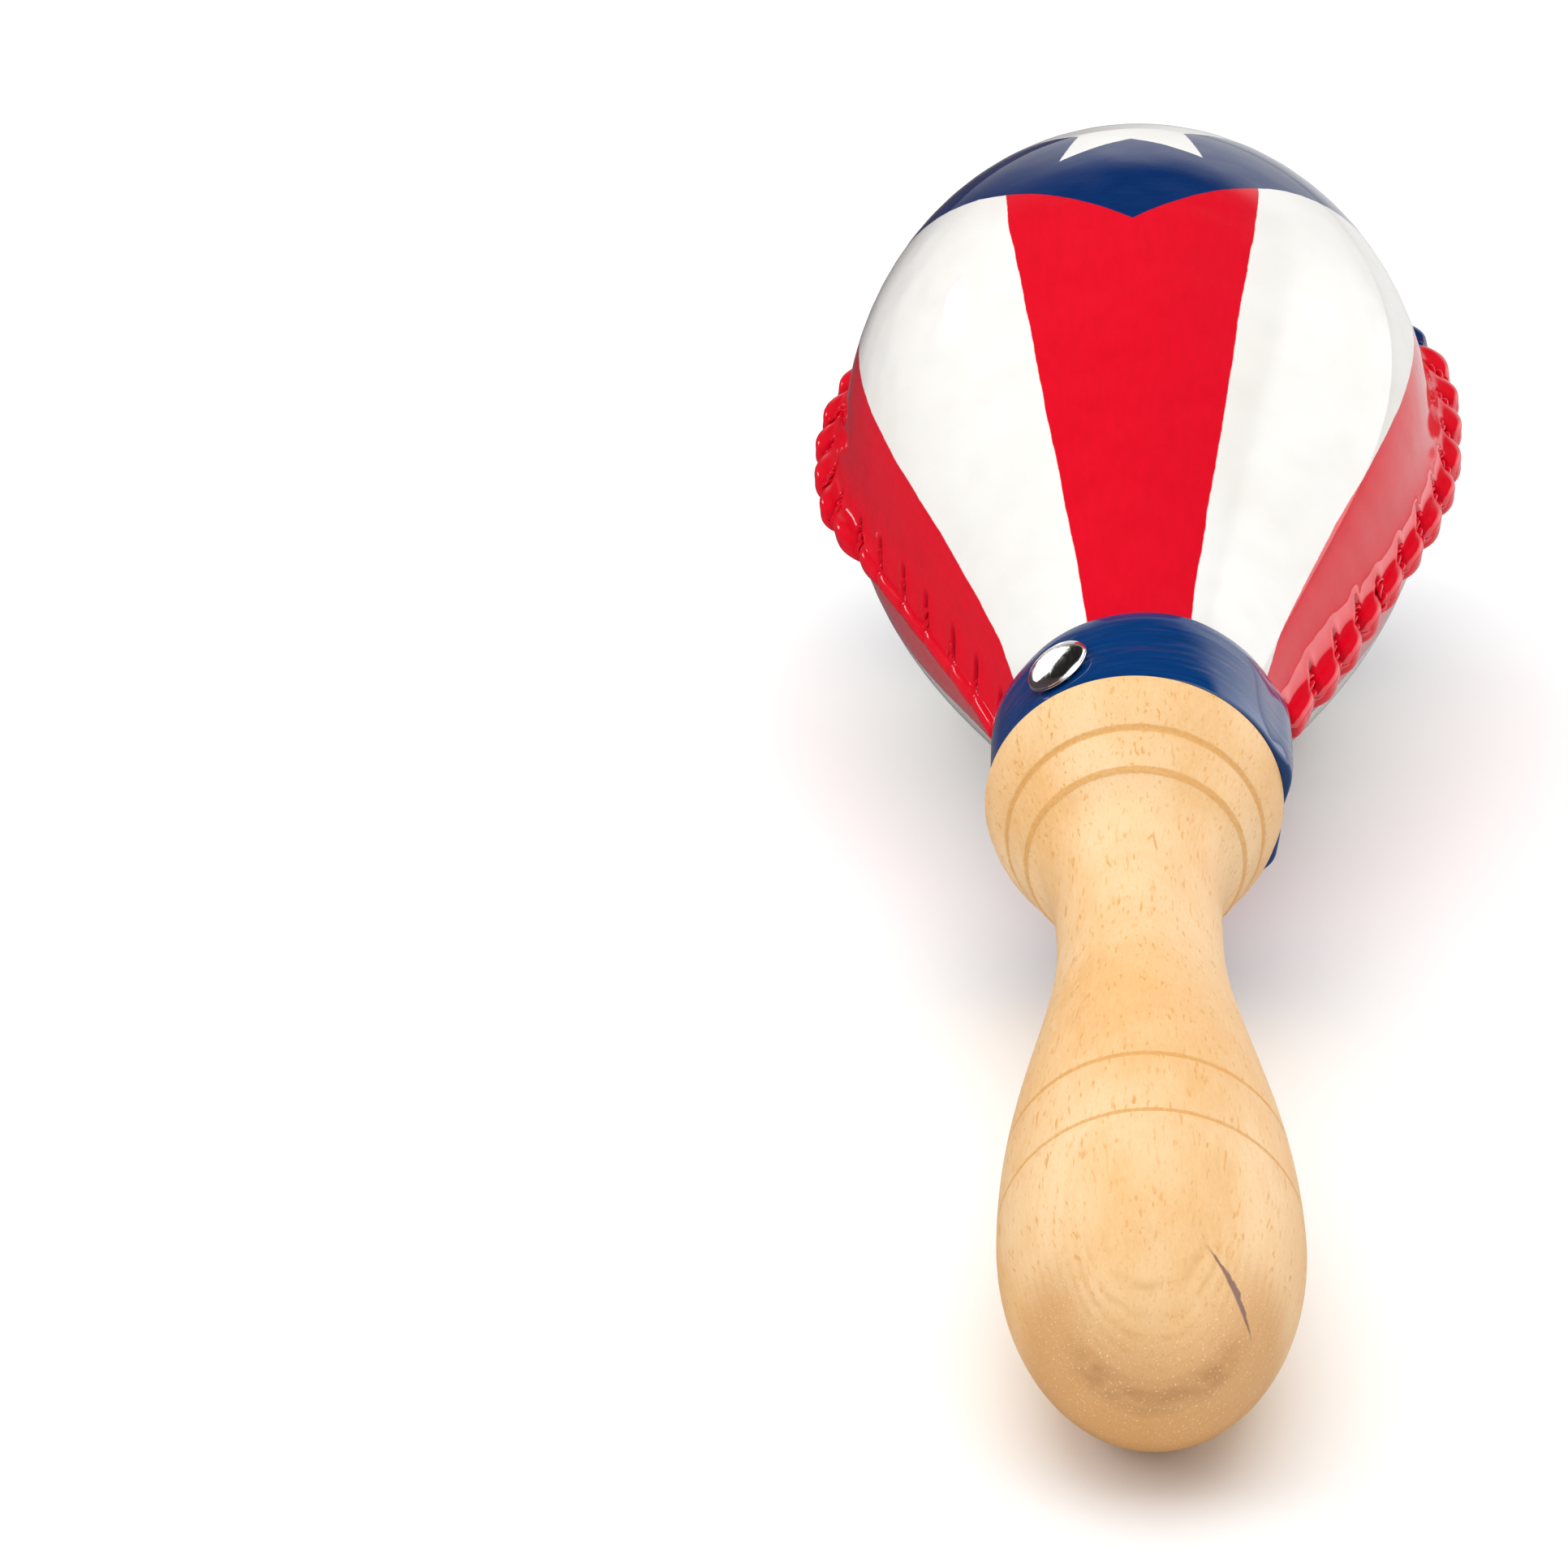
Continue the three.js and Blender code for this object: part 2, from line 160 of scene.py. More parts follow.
def make_piece(name, points, faces, material, body=BODY, stands_for=(), sharp=50):
    """A smooth-shaded mesh of local points, riding on a body."""
    mesh = bpy.data.meshes.new(name)
    mesh.from_pydata(to_world(points).tolist(), [], [list(map(int, f)) for f in faces])
    mesh.validate()
    face_outward(mesh)
    mesh.shade_smooth()
    mesh.set_sharp_from_angle(angle=math.radians(sharp))
    mesh.materials.append(material)
    piece = bpy.data.objects.new(name, mesh)
    bpy.context.scene.collection.objects.link(piece)
    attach(piece, body)
    if stands_for:
        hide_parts(*stands_for)
    return piece


def add_attribute(piece, name, values):
    attribute = piece.data.attributes.new(name, "FLOAT", "POINT")
    attribute.data.foreach_set("value", np.asarray(values, np.float32))


def tidy_face(face):
    kept = [v for k, v in enumerate(face) if v != face[k - 1]]
    return kept if len(set(kept)) == len(kept) and len(kept) > 2 else None


def quads(grid, close_rows=False):
    """Faces between neighbouring rows and columns of a grid of vertex numbers."""
    rows = grid.shape[0]
    last = rows if close_rows else rows - 1
    faces = []
    for i in range(last):
        k = (i + 1) % rows
        for j in range(grid.shape[1] - 1):
            face = tidy_face([grid[i, j], grid[k, j], grid[k, j + 1], grid[i, j + 1]])
            if face:
                faces.append(face)
    return faces


def lathe(profile, segments, centre=(0, 0, 0)):
    """Points and faces of a closed turned body. Its profile goes from axis to axis, as (radius, station)."""
    angles = np.linspace(0, 2 * math.pi, segments, endpoint=False)
    points, grid = [], np.zeros((len(profile), segments + 1), int)
    for i, (radius, station) in enumerate(profile):
        if radius < 1e-6:
            grid[i, :] = len(points)
            points.append((0, station, 0))
            continue
        grid[i, :segments] = np.arange(segments) + len(points)
        grid[i, segments] = len(points)
        points.extend((radius * math.sin(a), station, radius * math.cos(a)) for a in angles)
    return np.array(points) + np.array(centre), quads(grid)


# --- node graphs ------------------------------------------------------------------------


class Graph:
    """Short calls for building the nodes of a material or of the world."""

    def __init__(self, owner):
        owner.use_nodes = True
        self.owner = owner
        self.nodes = owner.node_tree.nodes
        self.links = owner.node_tree.links
        self.shader = self.nodes.get("Principled BSDF")

    def feed(self, socket, value):
        if isinstance(value, bpy.types.NodeSocket):
            self.links.new(value, socket)
        elif value is not None:
            socket.default_value = value

    def math(self, operation, *values):
        node = self.nodes.new("ShaderNodeMath")
        node.operation = operation
        for socket, value in zip(node.inputs, values):
            self.feed(socket, value)
        return node.outputs[0]

    def plus(self, a, b):
        return self.math("ADD", a, b)

    def minus(self, a, b):
        return self.math("SUBTRACT", a, b)

    def times(self, a, b):
        return self.math("MULTIPLY", a, b)

    def vector(self, operation, *values):
        node = self.nodes.new("ShaderNodeVectorMath")
        node.operation = operation
        for socket, value in zip(node.inputs, values):
            self.feed(socket, value)
        return node.outputs[0]

    def dot(self, a, b):
        node = self.nodes.new("ShaderNodeVectorMath")
        node.operation = "DOT_PRODUCT"
        self.feed(node.inputs[0], a)
        self.feed(node.inputs[1], b)
        return node.outputs["Value"]

    def split(self, vector):
        node = self.nodes.new("ShaderNodeSeparateXYZ")
        self.feed(node.inputs[0], vector)
        return node.outputs

    def join(self, x, y, z):
        node = self.nodes.new("ShaderNodeCombineXYZ")
        for socket, value in zip(node.inputs, (x, y, z)):
            self.feed(socket, value)
        return node.outputs[0]

    def local(self):
        """The point in the maraca's own frame, in millimetres."""
        place = self.nodes.new("ShaderNodeMapping")
        place.vector_type = "TEXTURE"
        place.inputs["Location"].default_value = Vector(PLACE * MM)
        place.inputs["Rotation"].default_value = Matrix(TURN).to_euler("XYZ")
        place.inputs["Scale"].default_value = (MM, MM, MM)
        self.links.new(self.nodes.new("ShaderNodeTexCoord").outputs["Object"], place.inputs["Vector"])
        return place.outputs[0]

    def stretch(self, vector, scale):
        return self.vector("MULTIPLY", vector, scale)

    def noise(self, vector, scale, detail=2.0, roughness=0.5, color=False):
        node = self.nodes.new("ShaderNodeTexNoise")
        self.feed(node.inputs["Vector"], vector)
        given = {"Scale": scale, "Detail": detail, "Roughness": roughness}
        for name, value in given.items():
            node.inputs[name].default_value = value
        return node.outputs["Color" if color else "Fac"]

    def range(self, value, low, high, to_low=0.0, to_high=1.0, soft=False):
        node = self.nodes.new("ShaderNodeMapRange")
        node.interpolation_type = "SMOOTHSTEP" if soft else "LINEAR"
        for socket, given in zip(node.inputs, (value, low, high, to_low, to_high)):
            self.feed(socket, given)
        return node.outputs[0]

    def mix(self, share, a, b):
        node = self.nodes.new("ShaderNodeMix")
        node.data_type = "RGBA"
        self.feed(node.inputs["Factor"], share)
        for name, value in (("A", a), ("B", b)):
            socket = next(s for s in node.inputs if s.name == name and s.type == "RGBA")
            self.feed(socket, value if isinstance(value, bpy.types.NodeSocket) else (*value, 1.0))
        return next(s for s in node.outputs if s.type == "RGBA")

    def attribute(self, name):
        node = self.nodes.new("ShaderNodeAttribute")
        node.attribute_name = name
        return node.outputs["Fac"]

    def bump(self, *layers):
        """Each layer is (height in millimetres, strength)."""
        normal = None
        for height, strength in layers:
            node = self.nodes.new("ShaderNodeBump")
            node.inputs["Distance"].default_value = MM
            node.inputs["Strength"].default_value = strength
            self.feed(node.inputs["Height"], height)
            if normal:
                self.links.new(normal, node.inputs["Normal"])
            normal = node.outputs[0]
        self.links.new(normal, self.shader.inputs["Normal"])

    def set(self, **values):
        for name, value in values.items():
            self.feed(self.shader.inputs[name.replace("_", " ")], value)


WHITE_PAINT = (0.86, 0.845, 0.815)
WHITE_SHADE = (0.80, 0.775, 0.73)
RED_PAINT = (0.70, 0.0, 0.014)
RED_SHADE = (0.64, 0.0, 0.011)
BLUE_PAINT = (0.0, 0.026, 0.130)
BLUE_SHADE = (0.0, 0.018, 0.095)
# Painted shade: the darker red that the creases and stitch slits of the lip are painted with
PAINTED_CREASE_SHADE = (0.22, 0.0, 0.006)

CAP_POINT = 217.6
CAP_SLOPE, CAP_CURVE = 0.78, 0.002
STRIPE_HALF_ANGLE, STRIPE_FLARE = 22.6, 2.2
GORE_EDGE = 64.4
STAR_STATION, STAR_HEIGHT, STAR_SLOPE = 252, 39.3, 17.4
STAR_RADIUS, STAR_WAIST = 17.3, 0.46
EDGE_SOFTNESS = 0.07


def side_mask(g, distance):
    """1 where the distance in millimetres is positive, with a crisp painted edge."""
    return g.range(distance, -EDGE_SOFTNESS, EDGE_SOFTNESS)


def star_distance(g, x, y, height):
    """How far inside the star's edge a point is."""
    slope = math.radians(STAR_SLOPE)
    rise = g.times(g.minus(height, STAR_HEIGHT), math.sin(slope))
    up = g.minus(g.times(g.minus(y, STAR_STATION), math.cos(slope)), rise)
    reach = g.math("SQRT", g.plus(g.times(x, x), g.times(up, up)))
    turn = g.math("PINGPONG", g.math("ABSOLUTE", g.math("ARCTAN2", x, up)), math.pi / 5)
    tip = Vector((STAR_RADIUS, 0))
    waist = Vector((math.cos(math.pi / 5), math.sin(math.pi / 5))) * STAR_RADIUS * STAR_WAIST
    edge = (waist - tip).normalized()
    square = Vector((edge.y, -edge.x))
    along = g.times(g.math("COSINE", turn), square.x)
    across = g.times(g.math("SINE", turn), square.y)
    return g.minus(tip.dot(square), g.times(reach, g.plus(along, across)))


def paint_masks(g, place):
    """Masks of the red, blue and star areas, with slightly wandering painted edges."""
    wander = g.noise(place, 0.16, 2.0, color=True)
    frayed = g.noise(place, 1.1, 2.0, color=True)
    shift = g.vector("ADD", g.stretch(g.vector("SUBTRACT", wander, (0.5, 0.5, 0.5)), (0.5, 0.5, 0.5)),
                     g.stretch(g.vector("SUBTRACT", frayed, (0.5, 0.5, 0.5)), (0.13, 0.13, 0.13)))
    x, y, z = g.split(g.vector("ADD", place, shift))
    across, height = g.math("ABSOLUTE", x), g.math("ABSOLUTE", z)
    radius = g.math("SQRT", g.plus(g.times(x, x), g.times(z, z)))
    clock = g.times(g.math("ARCTAN2", across, height), 180 / math.pi)
    arc = g.times(radius, math.pi / 180)
    stripe = g.plus(STRIPE_HALF_ANGLE, g.range(y, 198, 234, 0.0, STRIPE_FLARE, soft=True))
    in_stripe = side_mask(g, g.times(g.minus(stripe, clock), arc))
    gore = g.plus(g.range(y, 180, 240, GORE_EDGE, GORE_EDGE + 6),
                  g.range(y, 148, 158, 3.0, 0.0, soft=True))
    in_gore = side_mask(g, g.times(g.minus(clock, gore), arc))
    red = g.math("MAXIMUM", in_stripe, in_gore)
    bend = g.times(g.times(across, across), CAP_CURVE)
    cap_edge = g.plus(g.plus(g.times(across, CAP_SLOPE), bend), CAP_POINT)
    blue = side_mask(g, g.times(g.minus(y, cap_edge), 0.8))
    star = side_mask(g, star_distance(g, x, y, height))
    return red, blue, star


def paint_material(name, crease=True, weave=False):
    """Thick gloss enamel over rawhide, in the painted pattern."""
    g = Graph(bpy.data.materials.new(name))
    place = g.local()
    red, blue, star = paint_masks(g, place)
    cloud = g.noise(place, 0.05, 3.0)
    brushed = g.noise(g.stretch(place, (0.22, 1.6, 0.5)), 1.0, 3.0, 0.6)
    lengthwise = g.noise(g.stretch(place, (0.9, 0.06, 0.9)), 1.0, 3.0, 0.6)
    white = g.mix(g.range(cloud, 0.35, 0.75), WHITE_PAINT, WHITE_SHADE)
    reds = g.mix(g.range(lengthwise, 0.4, 0.8), RED_PAINT, RED_SHADE)
    blues = g.mix(g.range(brushed, 0.35, 0.75), BLUE_PAINT, BLUE_SHADE)
    color = g.mix(red, white, reds)
    color = g.mix(blue, color, blues)
    color = g.mix(star, color, white)
    # Painted shade: the red paint is darkened by how deep each crease, slit or pucker of the lip is
    if crease:
        depth = g.attribute("crease")
        color = g.mix(g.times(depth, g.times(red, 0.85)), color, PAINTED_CREASE_SHADE)
    g.set(Base_Color=color, Roughness=g.range(cloud, 0.3, 0.7, 0.30, 0.42))
    g.set(Coat_Weight=1.0, Coat_Roughness=0.03, Coat_IOR=1.45, Specular_IOR_Level=0.08)
    waves = g.noise(place, 0.11, 1.0)
    peel = g.noise(place, 0.75, 2.0)
    grain = g.noise(g.stretch(place, (1.0, 0.3, 1.0)), 2.6, 3.0)
    steps = g.plus(g.times(red, 0.5), g.math("MAXIMUM", blue, star))
    layers = [(waves, 1.0), (peel, 0.04), (grain, 0.004), (steps, 0.04)]
    if weave:
        layers.append((g.noise(place, 3.5, 3.0), 0.12))
    g.bump(*layers)
    return g.owner


STRAP_BLUE, STRAP_DEEP, STRAP_PATCH = (0.0, 0.044, 0.19), (0.0, 0.022, 0.105), (0.0, 0.030, 0.125)


def strap_material():
    """Blue lacquer brushed round a leather strap."""
    g = Graph(bpy.data.materials.new("blue_lacquered_leather"))
    x, y, z = g.split(g.local())
    clock = g.math("ARCTAN2", x, z)
    wrapped = g.join(g.times(clock, 3.0), y, 0.0)
    streaks = g.noise(g.stretch(wrapped, (0.35, 2.4, 1.0)), 1.0, 4.0, 0.65)
    patches = g.noise(g.stretch(wrapped, (0.5, 0.22, 1.0)), 1.0, 2.0)
    pores = g.noise(g.local(), 2.2, 2.0)
    color = g.mix(g.range(streaks, 0.36, 0.7), STRAP_BLUE, STRAP_DEEP)
    color = g.mix(g.range(patches, 0.5, 0.8, 0.0, 0.5), color, STRAP_PATCH)
    g.set(Base_Color=color, Roughness=g.range(streaks, 0.3, 0.7, 0.22, 0.36))
    g.set(Coat_Weight=1.0, Coat_Roughness=0.04, Coat_IOR=1.45, Specular_IOR_Level=0.08)
    g.bump((patches, 1.0), (streaks, 0.035), (pores, 0.015))
    return g.owner


WOOD_PALE, WOOD_AMBER = (0.86, 0.595, 0.33), (0.80, 0.46, 0.18)
WOOD_RING, WOOD_FIBRE = (0.76, 0.42, 0.16), (0.90, 0.62, 0.32)
WOOD_FLECK, WOOD_DASH = (0.74, 0.42, 0.15), (0.70, 0.32, 0.07)
END_TOAST, END_ARC, HEART_BAND = (0.62, 0.295, 0.085), (0.62, 0.33, 0.11), (0.43, 0.20, 0.065)
PALE_DOT, DARK_DOT = (0.95, 0.78, 0.52), (0.50, 0.26, 0.09)
GROOVE_AMBER = (0.78, 0.40, 0.11)
RING_UP, RING_BACK = 0.946, 0.325


def wood_material():
    """Pale close-grained wood, sanded and left satin, with tilted growth rings."""
    g = Graph(bpy.data.materials.new("pale_turned_wood"))
    place = g.local()
    x, y, z = g.split(place)
    slow = g.noise(g.stretch(place, (0.07, 0.02, 0.07)), 1.0, 3.0)
    drift = g.times(g.minus(slow, 0.5), 3.0)
    level = g.minus(g.times(z, RING_UP), g.times(y, RING_BACK))
    bow = g.times(g.times(x, x), 0.010)
    ring = g.plus(g.minus(level, bow), drift)
    wide = g.math("SINE", g.times(ring, 1.3))
    fine = g.math("SINE", g.plus(g.times(ring, 5.2), g.times(drift, 2.0)))
    rings = g.plus(g.times(wide, 0.55), g.times(fine, 0.45))
    cloud = g.noise(g.stretch(place, (0.06, 0.026, 0.06)), 1.0, 3.0, 0.55)
    fibres = g.noise(g.stretch(place, (1.9, 0.10, 1.9)), 1.0, 4.0, 0.7)
    flecks = g.noise(g.stretch(place, (3.4, 0.9, 3.4)), 1.0, 3.0, 0.6)
    color = g.mix(g.range(cloud, 0.38, 0.62), WOOD_PALE, WOOD_AMBER)
    color = g.mix(g.range(rings, -0.5, 1.0, 0.0, 0.24), color, WOOD_RING)
    color = g.mix(g.range(fibres, 0.42, 0.72, 0.0, 0.42), color, WOOD_FIBRE)
    color = g.mix(g.range(flecks, 0.52, 0.74, 0.0, 0.42), color, WOOD_FLECK)
    dashes = g.noise(g.stretch(place, (2.3, 0.36, 2.3)), 1.0, 1.0, 0.4)
    dash = g.times(g.range(dashes, 0.62, 0.69), g.range(rings, -0.5, 0.9, 0.3, 1.0))
    end_level = g.plus(level, g.times(drift, 0.4))
    end = g.range(end_level, 8.4, 4.6, 0.0, 1.0, soft=True)
    end = g.times(end, g.range(y, 9.0, 17.0, 1.0, 0.0, soft=True))
    side = g.minus(1.0, end)
    color = g.mix(g.times(g.times(dash, side), 0.85), color, WOOD_DASH)
    color = g.mix(g.times(end, g.range(ring, 9.0, 2.0, 0.16, 0.72)), color, END_TOAST)
    broken = g.range(g.noise(g.stretch(place, (0.25, 0.25, 0.25)), 1.0, 3.0, 0.6), 0.38, 0.68)
    arcs = g.times(g.range(fine, -0.2, 1.0, 0.0, 0.46), broken)
    near_end = g.range(y, 10.0, 17.0, 1.0, 0.0, soft=True)
    color = g.mix(g.times(arcs, near_end), color, END_ARC)
    heart = g.math("ABSOLUTE", g.minus(ring, 1.0))
    low_down = g.range(y, 2.6, 7.5, 1.0, 0.0, soft=True)
    heart = g.times(g.range(heart, 0.1, 2.8, 0.66, 0.0, soft=True), low_down)
    patchy = g.noise(g.stretch(place, (0.12, 0.5, 0.5)), 1.0, 3.0)
    heart = g.times(heart, g.range(patchy, 0.36, 0.6, 0.25, 1.0))
    color = g.mix(heart, color, HEART_BAND)
    dots = g.noise(place, 3.8, 1.0, 0.4)
    pale_dots = g.times(g.range(dots, 0.66, 0.72), g.times(end, 0.5))
    dark_dots = g.times(g.range(dots, 0.36, 0.29), g.times(end, 0.35))
    color = g.mix(pale_dots, color, PALE_DOT)
    color = g.mix(dark_dots, color, DARK_DOT)
    color = g.mix(streak_mask(g, place), color, STREAK_BROWN)
    cut = g.attribute("cut")
    torn = g.noise(g.stretch(place, (1.7, 1.7, 1.7)), 1.0, 4.0, 0.7)
    ragged = g.plus(cut, g.times(g.minus(torn, 0.5), 1.3))
    scar = g.times(g.range(ragged, 0.30, 0.62), g.range(cut, 0.0, 0.2))
    color = g.mix(g.times(scar, g.range(torn, 0.3, 0.62, 0.5, 0.95)), color, GROOVE_AMBER)
    g.set(Base_Color=color, Roughness=g.range(fibres, 0.3, 0.7, 0.40, 0.52))
    g.set(Specular_IOR_Level=0.42, Coat_Weight=0.12, Coat_Roughness=0.35)
    sunk_dash = g.times(dash, -1.0)
    g.bump((fibres, 0.045), (sunk_dash, 0.04), (g.times(torn, cut), 0.5))
    return g.owner


STREAK_BROWN = (0.170, 0.080, 0.070)
STREAK_FROM, STREAK_TO = np.array((7.13, 11.9, 12.55)), np.array((11.2, 6.96, 2.99))
STREAK_SQUARE = (-0.6722, -0.7345, 0.0927)
STREAK_HALF_WIDTH = 0.20


def streak_mask(g, place):
    """One short dark mineral streak near the handle's end, ragged and thickest before its middle."""
    run = STREAK_TO - STREAK_FROM
    length = float(np.linalg.norm(run))
    from_start = g.vector("SUBTRACT", place, tuple(STREAK_FROM))
    along = g.dot(from_start, tuple(run / length))
    wobble = g.times(g.minus(g.noise(place, 0.45, 3.0), 0.5), 1.1)
    away = g.math("ABSOLUTE", g.plus(g.dot(from_start, STREAK_SQUARE), wobble))
    from_thickest = g.math("ABSOLUTE", g.minus(along, length * 0.42))
    bulge = g.range(from_thickest, 0.0, length * 0.58, 1.0, 0.0, soft=True)
    ragged = g.range(g.noise(place, 0.9, 3.0), 0.3, 0.7, 0.5, 1.6)
    half = g.times(g.times(bulge, ragged), STREAK_HALF_WIDTH)
    inside = g.range(away, half, g.plus(half, 0.26), 1.0, 0.0, soft=True)
    on_top = g.range(g.split(place)[0], 4.0, 6.0)
    return g.times(g.times(inside, on_top), g.range(bulge, 0.0, 0.25, 0.0, 0.9))


def nickel_material():
    g = Graph(bpy.data.materials.new("bright_nickel"))
    place = g.local()
    rub = g.noise(place, 0.9, 3.0)
    scuff = g.noise(g.stretch(place, (3.0, 0.4, 1.0)), 1.4, 2.0)
    color = g.mix(g.range(rub, 0.4, 0.8), (0.90, 0.885, 0.86), (0.80, 0.78, 0.75))
    g.set(Base_Color=color, Metallic=1.0, Roughness=g.range(scuff, 0.35, 0.7, 0.10, 0.22))
    g.bump((rub, 0.05), (scuff, 0.01))
    return g.owner


def seed_material():
    g = Graph(bpy.data.materials.new("hard_brown_seed"))
    place = g.local()
    mottle = g.noise(place, 0.8, 4.0, 0.6)
    specks = g.noise(place, 3.0, 2.0)
    color = g.mix(g.range(mottle, 0.35, 0.7), (0.16, 0.072, 0.030), (0.075, 0.030, 0.014))
    color = g.mix(g.range(specks, 0.62, 0.72, 0.0, 0.6), color, (0.30, 0.17, 0.08))
    g.set(Base_Color=color, Roughness=g.range(mottle, 0.3, 0.7, 0.36, 0.55))
    g.bump((mottle, 0.2), (specks, 0.05))
    return g.owner


# --- handle -----------------------------------------------------------------------------


def handle_outline():
    """(radius, station) down the turned handle, without its grooves."""
    turn = np.linspace(0, math.pi / 2, 40)
    bulb = np.c_[BULB_RADIUS * np.sin(turn), BULB_STATION * (1 - np.cos(turn))]
    sweep = bezier((BULB_RADIUS, BULB_STATION), (BULB_RADIUS, BULB_STATION + SWEEP_START_PULL),
                   (WAIST_RADIUS, WAIST_STATION - SWEEP_END_PULL), (WAIST_RADIUS, WAIST_STATION), 60)
    flare = bezier((WAIST_RADIUS, WAIST_STATION), (WAIST_RADIUS, WAIST_STATION + FLARE_START_PULL),
                   (CUP_RADIUS - FLARE_END_DROP, CUP_STATION - FLARE_END_PULL),
                   (CUP_RADIUS, CUP_STATION), 40)
    cone = np.linspace((CUP_RADIUS, CUP_STATION), (STEP_RADIUS, STEP_STATION), 8)
    band = bezier((STEP_RADIUS, STEP_STATION), BAND_LOW, BAND_HIGH,
                  (RIM_RADIUS - 0.2, RIM_STATION - 0.84), 14)
    return np.concatenate([bulb, sweep[1:], flare[1:], cone[1:], band[1:]])


def groove_depth(station):
    """Each turned groove is a narrow round-bottomed cut."""
    depth = np.zeros_like(station)
    for middle, width, deep in GROOVES:
        depth = np.maximum(depth, deep * np.exp(-(((station - middle) / width) ** 4)))
    return depth


def build_handle(material):
    outline = handle_outline()
    stations = [outline[:, 1]]
    for middle, _, _ in GROOVES:
        stations.append(np.linspace(middle - GROOVE_MARGIN, middle + GROOVE_MARGIN, GROOVE_STEPS))
    station = np.unique(np.round(np.concatenate(stations), 3))
    radius = np.interp(station, outline[:, 1], outline[:, 0])
    cut = groove_depth(station)
    rim = [(RIM_RADIUS - 0.1, RIM_STATION - 0.45), (RIM_RADIUS, RIM_STATION - 0.2),
           (RIM_RADIUS - 0.15, RIM_STATION)]
    tenon = [(TENON_RADIUS, RIM_STATION), (TENON_RADIUS, TENON_END - TENON_CHAMFER),
             (TENON_RADIUS - TENON_CHAMFER, TENON_END), (0, TENON_END)]
    profile = np.concatenate([np.c_[radius - cut, station], rim, tenon])
    profile[0, 0] = 0
    points, faces = lathe(profile, LATHE_SEGMENTS)
    outside = points[:, 1] < RIM_STATION - 1
    sway = 0.06 * np.sin(np.arctan2(points[:, 0], points[:, 2]) * 2 + points[:, 1] * 0.05)
    distance = np.hypot(points[:, 0], points[:, 2])
    factor = 1 + np.where(outside, sway, 0) / np.maximum(distance, 3)
    points[:, 0] *= factor
    points[:, 2] *= factor
    distance = np.hypot(points[:, 0], points[:, 2])
    in_tenon = (points[:, 1] > RIM_STATION - 0.01) & (distance < TENON_RADIUS + 0.1)
    points[:, 0] += np.where(in_tenon, 0, np.interp(points[:, 1], *zip(*HANDLE_LEAN)))
    piece = make_piece("turned_handle", points, faces, material, stands_for=["handle"],
                       sharp=60)
    depth = np.where(outside, groove_depth(points[:, 1]) / FULL_CUT_DEPTH, 0)
    add_attribute(piece, "cut", depth.clip(0, 1))


# --- head -------------------------------------------------------------------------------


def head_outline():
    """(radius, station) from the neck's end to the crown."""
    neck = np.linspace((NECK_RADIUS, NECK_END), (NECK_RADIUS, SHOULDER_STATION), 30)
    shoulder = bezier((NECK_RADIUS, SHOULDER_STATION),
                      (NECK_RADIUS + SHOULDER_RISE, SHOULDER_STATION + SHOULDER_START_PULL),
                      (BELLY_RADIUS, BELLY_STATION - SHOULDER_END_PULL), (BELLY_RADIUS, BELLY_STATION), 260)
    turn = np.linspace(0, math.pi / 2, 260)
    crown = np.c_[BELLY_RADIUS * np.cos(turn), BELLY_STATION + CROWN_LENGTH * np.sin(turn)]
    return np.concatenate([neck, shoulder[1:], crown[1:]])


OUTLINE = head_outline()
OUTLINE_RUN = np.r_[0, np.cumsum(np.linalg.norm(np.diff(OUTLINE, axis=0), axis=1))]
OUTLINE_SLOPE = np.gradient(OUTLINE, OUTLINE_RUN, axis=0)
HALF_RUN = OUTLINE_RUN[-1]
LIP_RUN = float(np.interp(LIP_START, OUTLINE[:, 1], OUTLINE_RUN))
PITCH = (HALF_RUN - LIP_RUN) / LOBES


def along_outline(run):
    """x, y and the outward normal in the seam plane, on the right, at a run from the neck's end."""
    x, y = (np.interp(run, OUTLINE_RUN, OUTLINE[:, k]) for k in (0, 1))
    tx, ty = (np.interp(run, OUTLINE_RUN, OUTLINE_SLOPE[:, k]) for k in (0, 1))
    size = np.hypot(tx, ty)
    return x, y, ty / size, -tx / size


def dome(run, angle, inset=0.0):
    """A point of the head at an angle up from the seam, and its direction of travel towards the seam."""
    x, y, nx, ny = along_outline(run)
    x, y = x - inset * nx, y - inset * ny
    on_crown = y > BELLY_STATION
    top = np.where(on_crown, BELLY_RADIUS - inset, x)
    rise = np.where(on_crown, y - BELLY_STATION, 0.0)
    c, s = np.cos(angle), np.sin(angle)
    point = np.stack([x * c, y - rise * (1 - c), top * s], -1)
    travel = np.stack([x * s, rise * s, -top * c], -1)
    return point, travel / np.linalg.norm(travel, axis=-1, keepdims=True)


LOBE_JITTER = {side: np.random.default_rng(5 + side).uniform(-1, 1, (3, LOBES + 3)) for side in (1, -1)}


def lobe_noise(kind, side, phase):
    """A smooth random value that belongs to each lobe."""
    draw = LOBE_JITTER[side][kind]
    at = np.clip(phase, 0, LOBES + 1)
    cell = np.floor(at).astype(int)
    return draw[cell] + smooth(0, 1, at - cell) * (draw[cell + 1] - draw[cell])


def fullness(side, run):
    """How far the lobes stand out: on the left the lower ones were pulled nearly flat."""
    station = np.interp(run, OUTLINE_RUN, OUTLINE[:, 1])
    return np.where(side > 0, 1.0, 0.06 + 0.94 * smooth(188, 205, station))


def lip_reach(side, run):
    """How far the lip stands out from the head, in millimetres."""
    station = np.interp(run, OUTLINE_RUN, OUTLINE[:, 1])
    return np.interp(station, *zip(*LIP_OUT[side]))


def lip_amount(run):
    return smooth(LIP_RUN - 0.6, LIP_RUN + 1.2, run)


